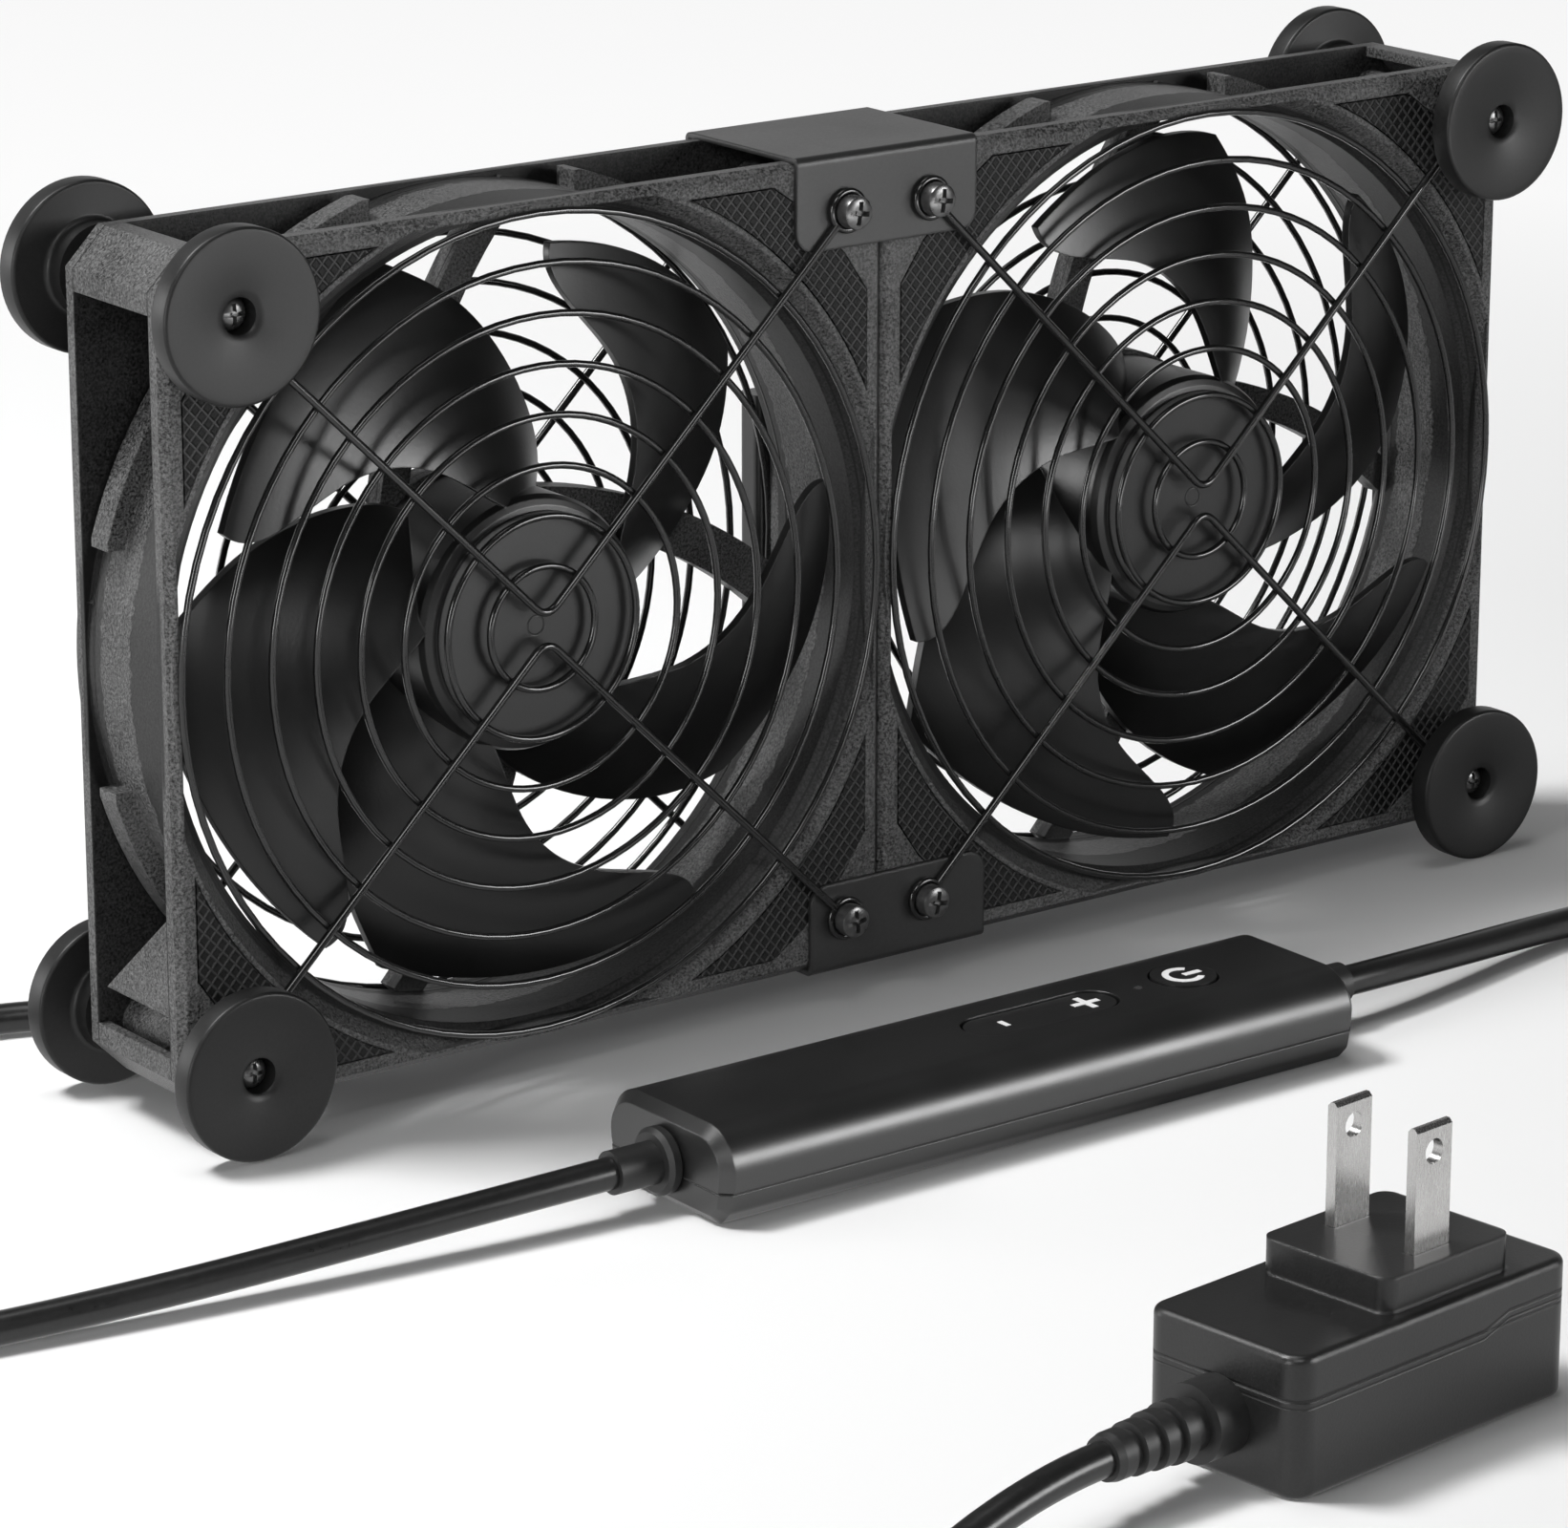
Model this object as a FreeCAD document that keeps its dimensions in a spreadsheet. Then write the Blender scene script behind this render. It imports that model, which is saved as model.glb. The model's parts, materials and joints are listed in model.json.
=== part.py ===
import FreeCAD, Part
import math
import operator
import os
import Sketcher

os.makedirs("parts", exist_ok=True)
doc = FreeCAD.newDocument("dual_fan")
Vec = FreeCAD.Vector

# Sizes in millimetres and degrees, each set once
sizes = {
    # fan frames
    "frame_size": 119.8,
    "frame_depth": 25.0,
    "seam_gap": 0.2,
    "hole_inset": 7.4,
    "flange_thick": 3.0,
    "edge_bevel": 1.1,
    "corner_cut": 5.2,
    "side_wall": 2.0,
    "duct_wall": 1.7,
    "mouth_flare": 3.8,
    "mouth_depth": 4.0,
    "mouth_edge": 1.5,
    "outlet_flare": 2.4,
    "outlet_depth": 3.0,
    "rib_rise": 3.0,
    "rib_front": 2.8,
    "rib_width": 4.2,
    "rib_gap": 34.0,
    "corner_wall": 1.6,
    "corner_strip": 3.1,
    "tube_wall": 1.45,
    "gusset_reach": 15.0,
    "gusset_thick": 1.2,
    "strut_width": 4.5,
    "strut_depth": 3.6,
    "lead_strut_width": 6.4,
    "strut_start": -10.0,
    "strut_mid_turn": 15.0,
    "strut_end_turn": 46.0,
    # corner pads
    "pad_inset": 3.1,
    "pad_lip": 1.0,
    "pad_depth": 0.8,
    "pad_groove": 0.25,
    "pad_tip_cut": 19.6,
    "pad_corner_cut": 13.9,
    "pad_corner_in": 7.0,
    # impellers
    "hub_radius": 18.3,
    "hub_wall": 1.5,
    "hub_top": 1.5,
    "hub_inset": 1.3,
    "hub_step": 2.1,
    "hub_boss_radius": 3.2,
    "hub_boss_length": 2.7,
    "tip_gap": 4.4,
    "blade_thick": 1.5,
    "blade_front": 1.7,
    "blade_rear": 2.5,
    "blade_tip_rise": 0.5,
    "blade_tip_drop": 2.2,
    "blade_camber": 0.55,
    "tip_curl": 1.0,
    "tip_lip": 4.0,
    "lead_angle": 102.8,
    "lead_sweep": 60.8,
    "lead_bow": 7.0,
    "right_rest_turn": 34.0,
    "root_chord": 49.5,
    "tip_chord": 56.5,
    # motors
    "shaft_radius": 1.5,
    "shaft_tail": 0.3,
    "shaft_fit": 0.04,
    "press_gap": 0.03,
    "bearing_radius": 3.0,
    "boss_gap": 2.0,
    "bearing_tube_wall": 1.55,
    "base_radius": 19.0,
    "base_floor": 1.6,
    "base_inset": 0.5,
    "base_rim": 1.8,
    "base_rim_height": 4.0,
    "hub_gap": 0.5,
    "yoke_wall": 0.9,
    "yoke_inset": 1.6,
    "magnet_wall": 1.9,
    "magnet_inset": 1.2,
    "air_gap": 0.6,
    "rotor_gap": 3.0,
    "core_shoulder": 1.0,
    "pole_width": 4.0,
    "shoe_thick": 1.6,
    "shoe_gap": 2.6,
    "coil_build": 1.8,
    "coil_fit": 0.05,
    "board_thick": 1.2,
    "board_shoulder": 0.9,
    "board_drop": 1.3,
    "board_edge": 1.0,
    "clip_radius": 2.5,
    "clip_thick": 0.5,
    "clip_gap": 0.35,
    # guards
    "ring_wire": 1.0,
    "stay_wire": 1.1,
    "weld": 0.04,
    "first_ring": 8.8,
    "outer_ring_inset": 1.4,
    "stay_corner": 1.5,
    "stay_bend": 2.7,
    "eye_wall": 1.1,
    # brackets
    "bracket_steel": 0.8,
    "bracket_width": 32.2,
    "bracket_flap": 12.8,
    "flap_corner": 3.0,
    "bracket_bend": 1.1,
    "lower_shift": 2.7,
    # screws and feet
    "bracket_screw_radius": 2.05,
    "bracket_screw_head": 2.8,
    "bracket_head_height": 1.4,
    "bracket_screw_length": 11.0,
    "foot_screw_radius": 1.75,
    "foot_screw_head": 2.35,
    "foot_head_height": 2.4,
    "foot_screw_length": 12.8,
    "screw_fit": 0.1,
    "head_fit": 0.2,
    "foot_radius": 12.0,
    "foot_disc": 3.8,
    "foot_length": 7.0,
    "foot_neck": 6.6,
    "foot_seat": 2.4,
    "foot_round": 0.7,
    "washer_radius": 3.6,
    # lead sleeve at the rear seam
    "lead_width": 2.4,
    "lead_thick": 1.2,
    "lead_fit": 0.3,
    "sleeve_width": 6.0,
    "sleeve_depth": 4.8,
    "sleeve_length": 40.0,
    "sleeve_gap": 0.3,
    # controller
    "control_length": 111.5,
    "control_x": -22.75,
    "control_y": -66.7,
    "control_half": 13.75,
    "control_top_half": 9.75,
    "control_height": 13.4,
    "control_split": 4.8,
    "control_wall": 1.8,
    "control_bevel": 1.3,
    "control_round": 2.4,
    "control_foot_round": 1.8,
    "cable_height": 6.3,
    "board_width": 20.0,
    "pcb_thick": 1.4,
    "pcb_height": 3.2,
    "pcb_end_gap": 6.0,
    "rocker_length": 25.4,
    "rocker_width": 7.4,
    "rocker_thick": 2.0,
    "rocker_sink": 0.25,
    "rocker_shift": 8.6,
    "rocker_gap": 0.45,
    "pivot_radius": 0.95,
    "pivot_fit": 0.07,
    "pivot_drop": 2.8,
    "pivot_length": 1.4,
    "pivot_wall": 1.2,
    "button_radius": 4.75,
    "button_gap": 0.35,
    "button_rise": 0.2,
    "button_shift": 34.65,
    "button_flange": 1.0,
    "button_flange_thick": 1.0,
    "button_stem": 1.6,
    "button_travel": 0.6,
    "lens_radius": 0.6,
    "lens_flange": 0.6,
    "lens_shift": 26.25,
    "lens_fit": 0.05,
    "boot_collar": 4.7,
    "boot_collar_length": 2.2,
    "boot_radius": 3.0,
    "boot_length": 8.9,
    "boot_neck": 2.6,
    # adapter
    "adapter_x": -54.0,
    "adapter_y": -176.4,
    "adapter_turn": 6.6,
    "adapter_length": 50.0,
    "adapter_width": 25.0,
    "adapter_height": 18.2,
    "adapter_split": 12.6,
    "adapter_corner": 3.0,
    "adapter_edge": 1.0,
    "plinth_length": 23.0,
    "plinth_width": 20.5,
    "plinth_height": 4.6,
    "plinth_shift": 4.5,
    "plug_blade_gap": 12.7,
    "plug_blade_width": 6.35,
    "plug_blade_thick": 1.5,
    "plug_blade_length": 16.0,
    "plug_blade_root": 7.0,
    "plug_blade_hole": 1.6,
    "plug_blade_fit": 0.05,
    "relief_height": 8.0,
    "relief_collar": 5.0,
    "relief_collar_length": 5.0,
    "relief_start": 3.9,
    "relief_end": 2.8,
    "relief_length": 20.0,
    "relief_groove": 0.6,
    "relief_neck_length": 3.0,
    # cord
    "cord_radius": 2.25,
    "coil_pitch": 5.1,
    "coil_inner": 20.0,
    "coil_layer": 5.0,
    "coil_x": 105.0,
    "coil_y": -150.0,
    "tie_thick": 1.0,
    "tie_width": 6.0,
    "tie_gap": 0.5,
}
ring_count = 8
blade_count = 5
pole_count = 4
relief_grooves = 4

sheet = doc.addObject("Spreadsheet::Sheet", "Sizes")
for row, (name, number) in enumerate(sizes.items(), 1):
    sheet.set(f"A{row}", str(number))
    sheet.setAlias(f"A{row}", name)
doc.recompute()


class Size:
    # a number with the formula that ties it to the sheet
    def __init__(self, value, formula):
        self.value = float(value)
        self.formula = formula

    def mix(self, other, sign, work):
        other = as_size(other)
        return Size(work(self.value, other.value), f"({self.formula} {sign} {other.formula})")

    def __add__(self, other):
        return self.mix(other, "+", operator.add)

    def __radd__(self, other):
        return as_size(other) + self

    def __sub__(self, other):
        return self.mix(other, "-", operator.sub)

    def __rsub__(self, other):
        return as_size(other) - self

    def __mul__(self, other):
        return self.mix(other, "*", operator.mul)

    def __rmul__(self, other):
        return as_size(other) * self

    def __truediv__(self, other):
        return self.mix(other, "/", operator.truediv)

    def __rtruediv__(self, other):
        return as_size(other) / self

    def __neg__(self):
        return as_size(0) - self


def as_size(given):
    return given if isinstance(given, Size) else Size(given, f"({float(given)})")


def root(size):
    return Size(math.sqrt(size.value), f"sqrt({size.formula})")


class SheetSizes:
    pass


s = SheetSizes()
for name in sizes:
    setattr(s, name, Size(sheet.get(name), "Sizes." + name))

# Each sub-part, under its node name
made = {}
along = {
    "x": FreeCAD.Rotation(Vec(0, 1, 0), 90),
    "y": FreeCAD.Rotation(Vec(1, 0, 0), -90),
    "z": FreeCAD.Rotation(),
}


def keep(label, thing):
    thing.Label = label
    made[label] = thing
    return thing


def put(thing, x=0, y=0, z=0):
    for axis, size in zip("xyz", (x, y, z)):
        if isinstance(size, Size):
            thing.setExpression("Placement.Base." + axis, size.formula)
        elif size:
            setattr(thing.Placement.Base, axis, size)
    return thing


def turned(thing, axis, angle):
    thing.Placement = FreeCAD.Placement(Vec(), FreeCAD.Rotation(axis, angle))
    return thing


def solid(kind, name, axis, at, **given):
    thing = doc.addObject("Part::" + kind, name)
    thing.Placement = FreeCAD.Placement(Vec(), along[axis])
    for key, size in given.items():
        if isinstance(size, Size):
            thing.setExpression(key, size.formula)
        else:
            setattr(thing, key, size)
    return put(thing, *at)


def rod(name, axis, radius, length, at=(0, 0, 0)):
    return solid("Cylinder", name, axis, at, Radius=radius, Height=length)


def taper(name, axis, first, second, length, at=(0, 0, 0)):
    return solid("Cone", name, axis, at, Radius1=first, Radius2=second, Height=length)


def block(name, wide, deep, tall, centre=(0, 0, 0)):
    spans = [as_size(span) for span in (wide, deep, tall)]
    at = [as_size(mid) - span / 2 for mid, span in zip(centre, spans)]
    return solid("Box", name, "z", at, Length=spans[0], Width=spans[1], Height=spans[2])


def prism(name, sides, radius, length, at=(0, 0, 0)):
    return solid("Prism", name, "y", at, Polygon=sides, Circumradius=radius, Height=length)


def fuse(name, *things):
    thing = doc.addObject("Part::MultiFuse", name)
    thing.Shapes = list(things)
    return thing


def cut(name, base, *tools):
    thing = doc.addObject("Part::Cut", name)
    thing.Base = base
    thing.Tool = tools[0] if len(tools) == 1 else fuse(name + "_tools", *tools)
    return thing


def common(name, base, tool):
    thing = doc.addObject("Part::Common", name)
    thing.Base = base
    thing.Tool = tool
    return thing


def new_body(name):
    return doc.addObject("PartDesign::Body", name)


def drawn(body, plane, name, outline, circles=()):
    # a sketch on one of the body's own planes, every point tied to the sheet
    sketch = body.newObject("Sketcher::SketchObject", name)
    base = next(f for f in body.Origin.OriginFeatures if f.Role == plane)
    sketch.AttachmentSupport = [(base, "")]
    sketch.MapMode = "FlatFace"
    corners = [(as_size(a), as_size(b)) for a, b in outline]
    count = len(corners)
    for i in range(count):
        a, b = corners[i], corners[(i + 1) % count]
        sketch.addGeometry(Part.LineSegment(Vec(a[0].value, a[1].value, 0), Vec(b[0].value, b[1].value, 0)))
    for i in range(count):
        sketch.addConstraint(Sketcher.Constraint("Coincident", i, 2, (i + 1) % count, 1))
    for i in range(count):
        tie_point(sketch, i, 1, corners[i])
    for a, b, radius in circles:
        centre, radius = (as_size(a), as_size(b)), as_size(radius)
        i = sketch.addGeometry(Part.Circle(Vec(centre[0].value, centre[1].value, 0), Vec(0, 0, 1), radius.value))
        tie_point(sketch, i, 3, centre)
        k = sketch.addConstraint(Sketcher.Constraint("Radius", i, radius.value))
        sketch.setExpression(f"Constraints[{k}]", radius.formula)
    return sketch


def tie_point(sketch, geometry, position, point):
    for kind, size in zip(("DistanceX", "DistanceY"), point):
        k = sketch.addConstraint(Sketcher.Constraint(kind, -1, 1, geometry, position, size.value))
        sketch.setExpression(f"Constraints[{k}]", size.formula)


def padded(body, name, plane, outline, length, circles=()):
    # a pad to both sides of its sketch
    pad = body.newObject("PartDesign::Pad", name)
    pad.Profile = drawn(body, plane, name + "_sketch", outline, circles)
    pad.Midplane = True
    pad.setExpression("Length", as_size(length).formula)
    return pad


def dressed(body, kind, name, base, size, pick):
    # a chamfer or fillet on the edges that pick chooses by their box
    doc.recompute()
    edges = [f"Edge{i + 1}" for i, edge in enumerate(base.Shape.Edges) if pick(edge.BoundBox)]
    dress = body.newObject("PartDesign::" + kind, name)
    dress.Base = (base, edges)
    dress.setExpression("Size" if kind == "Chamfer" else "Radius", as_size(size).formula)
    return dress


def spun(name, outline):
    # a body turned about the Y axis, from points given as radius and place along Y
    body = new_body(name)
    turn = body.newObject("PartDesign::Revolution", name + "_turn")
    sketch = drawn(body, "XY_Plane", name + "_section", outline)
    turn.Profile = sketch
    turn.ReferenceAxis = (sketch, ["V_Axis"])
    turn.Angle = 360
    return body


def shaped(name, shape):
    thing = doc.addObject("Part::Feature", name)
    thing.Shape = shape
    return thing


def copies(label, source, places):
    # separate solids of one form
    doc.recompute()
    solids = []
    for place in places:
        one = source.Shape.copy()
        one.Placement = place.multiply(one.Placement)
        solids.append(one)
    return keep(label, shaped(label + "_group", Part.makeCompound(solids)))


def same(a, b):
    return abs(a - b) < 1e-4


half = s.frame_size / 2
half_depth = s.frame_depth / 2
bore = half - s.side_wall
hole = half - s.hole_inset
mouth = bore + s.mouth_flare
screw_hole = s.bracket_screw_radius + s.screw_fit
fan_x = (s.frame_size + s.seam_gap) / 2
fan_z = hole + s.foot_radius
signs = ((1, 1), (-1, 1), (-1, -1), (1, -1))


def octagon(size, corner):
    side = size - corner
    return [(size, -side), (size, side), (side, size), (-side, size),
            (-size, side), (-size, -side), (-side, -size), (side, -size)]


# Corner pads, which are also the recesses in the flanges
def pad_form(name, grow, depth, centre_y):
    edge = half - s.pad_inset + grow
    inner = mouth + s.pad_lip - grow
    tip = root(inner * inner - edge * edge) - 0.4
    far = half - s.pad_tip_cut + grow * 0.4
    near, out = half - s.pad_corner_cut + grow * 0.4, half - s.pad_corner_in + grow * 0.6
    forms = []
    for number, (a, b) in enumerate(signs):
        outline = [(tip, edge), (far, edge), (near, out), (out, near), (edge, far), (edge, tip)]
        body = new_body(f"{name}_plate{number}")
        padded(body, f"{name}_pad{number}", "XZ_Plane", [(x * a, z * b) for x, z in outline], depth)
        forms.append(put(body, 0, centre_y, 0))
    drum = rod(name + "_drum", "y", inner, depth * 4, (0, centre_y - depth * 2, 0))
    return cut(name, fuse(name + "_plates", *forms), drum)


# Fan frame: flanges, duct, ribs, corner walls, struts and motor base
def strut_path(start):
    # the arc that a strut follows, as a function from distance off the axis to a point
    near, far = s.base_radius.value - 1.2, bore.value + 0.8
    guide = []
    for radius, turn in ((far, 0.0), ((near + far) / 2, s.strut_mid_turn.value), (near, s.strut_end_turn.value)):
        angle = math.radians(start + turn)
        guide.append(Vec(radius * math.cos(angle), 0, radius * math.sin(angle)))
    circle = Part.Arc(*guide).toShape().Curve
    reach = circle.Center.Length
    bearing = math.atan2(circle.Center.z, circle.Center.x)

    def point(radius):
        swing = math.acos((radius ** 2 + reach ** 2 - circle.Radius ** 2) / (2 * radius * reach))
        both = [Vec(radius * math.cos(angle), 0, radius * math.sin(angle))
                for angle in (bearing - swing, bearing + swing)]
        return min(both, key=lambda p: (p - guide[1]).Length)

    return circle.Center, circle.Radius, point


def strut_form(start, width, depth, low, high):
    centre, bend, point = strut_path(start)
    points = [point(high), point((low + high) / 2), point(low)]

    def side(offset):
        return [centre + (p - centre) * ((bend + offset) / bend) for p in points]

    outer, inner = side(width / 2), side(-width / 2)
    wire = Part.Wire([
        Part.Arc(*outer).toShape(), Part.LineSegment(outer[2], inner[2]).toShape(),
        Part.Arc(inner[2], inner[1], inner[0]).toShape(), Part.LineSegment(inner[0], outer[0]).toShape()])
    return Part.Face(wire).extrude(Vec(0, depth, 0))


sleeve_front = half_depth + s.bracket_steel + s.sleeve_gap
base_back = half_depth - s.base_inset
base_front = base_back - s.base_floor
rim_front = base_back - s.base_rim_height
tube_radius = s.bearing_radius + s.bearing_tube_wall
board_seat = base_front - s.board_drop
board_front = board_seat - s.board_thick
hub_face = -(half_depth - s.hub_inset)
hub_rear = rim_front - s.hub_gap
core_radius = s.hub_radius - s.hub_wall - s.yoke_wall - s.magnet_wall - s.air_gap - 2 * s.press_gap
core_rear = board_front - 2.4
core_front = hub_face + s.hub_top + s.press_gap + s.yoke_wall + s.rotor_gap + s.coil_build
boss_end = hub_face + s.hub_top + s.hub_boss_length
tube_front = boss_end + s.boss_gap
bearing_front = tube_front + 0.3
bearing_rear = base_front - 2.0


def frame_form(tag):
    flanges = []
    for end, sign in (("front", -1), ("rear", 1)):
        body = new_body(f"{tag}_{end}_flange")
        plate = padded(body, f"{tag}_{end}_plate", "XZ_Plane", octagon(half, s.corner_cut), s.flange_thick)
        face = sign * s.flange_thick.value / 2
        dressed(body, "Chamfer", f"{tag}_{end}_bevel", plate, s.edge_bevel,
                lambda box: same(box.YMin, face) and same(box.YMax, face))
        flanges.append(put(body, 0, sign * (half_depth - s.flange_thick / 2), 0))
    duct = rod(f"{tag}_duct", "y", bore + s.duct_wall, s.frame_depth, (0, -half_depth, 0))
    rib = common(f"{tag}_rib", rod(f"{tag}_rib_ring", "y", bore + s.duct_wall + s.rib_rise, s.rib_width,
                                   (0, s.rib_front, 0)),
                 block(f"{tag}_rib_square", s.frame_size, s.frame_depth, s.frame_size))
    rib = cut(f"{tag}_rib_parts", rib,
              block(f"{tag}_rib_gap1", s.frame_size * 2, s.frame_depth, s.rib_gap),
              block(f"{tag}_rib_gap2", s.rib_gap, s.frame_depth, s.frame_size * 2))
    wall_depth = s.frame_depth - s.flange_thick
    outer, inner = new_body(f"{tag}_walls_outer"), new_body(f"{tag}_walls_inner")
    padded(outer, f"{tag}_walls_out", "XZ_Plane", octagon(half, s.corner_cut), wall_depth)
    padded(inner, f"{tag}_walls_in", "XZ_Plane",
           octagon(half - s.corner_wall, s.corner_cut - s.corner_wall * 0.6), s.frame_depth)
    clear = 2 * (half - s.corner_cut - s.corner_strip)
    walls = cut(f"{tag}_corner_walls", outer, inner,
                block(f"{tag}_wall_gap1", s.frame_size * 2, s.frame_depth, clear),
                block(f"{tag}_wall_gap2", clear, s.frame_depth, s.frame_size * 2))
    tubes = [rod(f"{tag}_tube{i}", "y", screw_hole + s.tube_wall, s.frame_depth - 1,
                 (hole * a, 0.5 - half_depth, hole * b)) for i, (a, b) in enumerate(signs)]
    gusset = new_body(f"{tag}_gusset")
    low = -(half - s.corner_cut - s.corner_strip - 6)
    padded(gusset, f"{tag}_gusset_pad", "YZ_Plane",
           [(s.flange_thick / 2 - half_depth, low), (half_depth * 0.55, low),
            (s.flange_thick / 2 - half_depth, low + s.gusset_reach)], s.gusset_thick)
    put(gusset, s.gusset_thick / 2 - half, 0, 0)
    shell = fuse(f"{tag}_shell", *flanges, duct, rib, walls, *tubes, gusset)

    mouth_cut = common(f"{tag}_mouth",
                       taper(f"{tag}_mouth_cone", "y", mouth, bore, s.mouth_depth, (0, -half_depth, 0)),
                       block(f"{tag}_mouth_square", s.frame_size - 2 * s.mouth_edge, s.frame_depth * 2,
                             s.frame_size - 2 * s.mouth_edge))
    outlet_cut = common(f"{tag}_outlet",
                        taper(f"{tag}_outlet_cone", "y", bore, bore + s.outlet_flare, s.outlet_depth,
                              (0, half_depth - s.outlet_depth, 0)),
                        block(f"{tag}_outlet_square", s.frame_size - 2 * s.mouth_edge, s.frame_depth * 2,
                              s.frame_size - 2 * s.mouth_edge))
    holes = [rod(f"{tag}_hole{i}", "y", screw_hole, s.frame_depth, (hole * a, -half_depth, hole * b))
             for i, (a, b) in enumerate(signs)]
    recess = s.pad_depth / 2
    pockets = [pad_form(f"{tag}_{end}_recess", s.pad_groove, s.pad_depth, sign * (half_depth - recess))
               for end, sign in (("front", -1), ("rear", 1))]
    open_shell = cut(f"{tag}_open_shell", shell, rod(f"{tag}_bore", "y", bore, s.frame_depth, (0, -half_depth, 0)),
                     mouth_cut, outlet_cut, *holes, *pockets)

    struts = []
    for number in range(4):
        wide = s.lead_strut_width if number == 0 else s.strut_width
        form = strut_form(s.strut_start.value + 90 * number, wide.value, s.strut_depth.value,
                          s.base_radius.value - 1.2, bore.value + 0.8)
        struts.append(put(shaped(f"{tag}_strut{number}", form), 0, base_back - s.strut_depth, 0))
    tube_rear = tube_radius + s.core_shoulder
    base = spun(f"{tag}_motor_base", [
        (0, base_back), (s.base_radius, base_back), (s.base_radius, rim_front),
        (s.base_radius - s.base_rim, rim_front), (s.base_radius - s.base_rim, base_front),
        (tube_rear + s.board_shoulder, base_front), (tube_rear + s.board_shoulder, board_seat),
        (tube_rear, board_seat), (tube_rear, core_rear), (tube_radius, core_rear), (tube_radius, tube_front),
        (s.bearing_radius + s.press_gap, tube_front), (s.bearing_radius + s.press_gap, base_front - 0.4),
        (0, base_front - 0.4)])
    channel = strut_form(s.strut_start.value, s.lead_width.value + 2 * s.lead_fit.value,
                         s.lead_thick.value + s.lead_fit.value + 0.6,
                         s.base_radius.value - s.base_rim.value - 2, half.value + 3)
    channel = put(shaped(f"{tag}_lead_channel", channel), 0, base_back - s.lead_thick - s.lead_fit, 0)
    return cut(tag, fuse(f"{tag}_with_motor_base", open_shell, base, *struts), channel)


def lead_form(tag):
    # flat motor lead in the channel of the wide strut, with its end turned back to the sleeve
    strip = strut_form(s.strut_start.value, s.lead_width.value, s.lead_thick.value,
                       s.base_radius.value - s.base_rim.value - 1.5, half.value + 0.3)
    strip = put(shaped(tag + "_strip", strip), 0, base_back - s.lead_thick, 0)
    end = strut_path(s.strut_start.value)[2](half.value - 0.1)
    post = rod(tag + "_end", "y", s.lead_thick / 2, sleeve_front - base_back + s.lead_thick,
               (end.x, base_back - s.lead_thick, end.z))
    return fuse(tag, strip, post)


# Impeller: hub cup with swept blades
def blade_form():
    tip = (bore - s.tip_gap).value
    start = (s.hub_radius - s.hub_wall / 2).value
    lip = tip - s.tip_lip.value
    radii = [start + (lip - start) * i / 3 for i in range(4)] + [tip]
    steps = 4

    def lead_at(share):
        return s.lead_angle.value + s.lead_sweep.value * share + s.lead_bow.value * share * (1 - share)

    def surface(offset):
        rows = []
        for radius in radii:
            share = (radius - start) / (tip - start)
            front = hub_face.value + s.blade_front.value - s.blade_tip_rise.value * share
            rear = hub_rear.value - s.blade_rear.value - s.blade_tip_drop.value * share
            curl = s.tip_curl.value * max(0.0, (radius - lip) / (tip - lip)) ** 2
            chord = s.root_chord.value + (s.tip_chord.value - s.root_chord.value) * share
            trail = lead_at(share) - chord
            lead = lead_at(min(share, (lip - start) / (tip - start)))
            row = []
            for step in range(steps):
                part = step / (steps - 1)
                angle = math.radians(lead + (trail - lead) * part)
                drop = part - s.blade_camber.value * part * (1 - part)
                row.append(Vec(radius * math.cos(angle), front + (rear - front) * drop + curl + offset,
                               radius * math.sin(angle)))
            rows.append(row)
        sheet_form = Part.BSplineSurface()
        sheet_form.interpolate(rows)
        return sheet_form

    front, back = surface(-s.blade_thick.value / 2), surface(s.blade_thick.value / 2)
    u0, u1, v0, v1 = front.bounds()
    faces = [front.toShape(), back.toShape()]
    for u in (u0, u1):
        faces.append(Part.makeRuledSurface(front.uIso(u).toShape(), back.uIso(u).toShape()))
    for v in (v0, v1):
        faces.append(Part.makeRuledSurface(front.vIso(v).toShape(), back.vIso(v).toShape()))
    skin = Part.Compound(faces)
    skin.sewShape(0.001)
    form = Part.Solid(skin.Shells[0])
    if form.Volume < 0:
        form.reverse()
    return form


blade = blade_form()


def impeller_form(tag, rest):
    step = s.hub_radius - s.hub_step
    shoulder = hub_face + s.hub_top
    inside = s.hub_radius - s.hub_wall
    hub = spun(f"{tag}_hub", [
        (0, hub_face), (step, hub_face), (step, hub_face + 0.5), (step + 0.7, hub_face + 0.6),
        (s.hub_radius - 0.5, hub_face + 1.0), (s.hub_radius, hub_face + 2.0), (s.hub_radius, hub_rear),
        (inside, hub_rear), (inside, shoulder), (s.hub_boss_radius, shoulder), (s.hub_boss_radius, boss_end),
        (s.shaft_radius + s.press_gap, boss_end), (s.shaft_radius + s.press_gap, hub_face + 0.6),
        (0, hub_face + 0.6)])
    blades = []
    for number in range(blade_count):
        one = shaped(f"{tag}_blade{number}", blade.copy())
        blades.append(turned(one, Vec(0, 1, 0), rest.value + 360 / blade_count * number))
    rotor = fuse(tag, hub, *blades)
    rotor.Refine = False
    return rotor


# Motor pieces inside the hub
def ring(name, outer, inner, front, rear):
    return spun(name, [(inner, front), (outer, front), (outer, rear), (inner, rear)])


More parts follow.
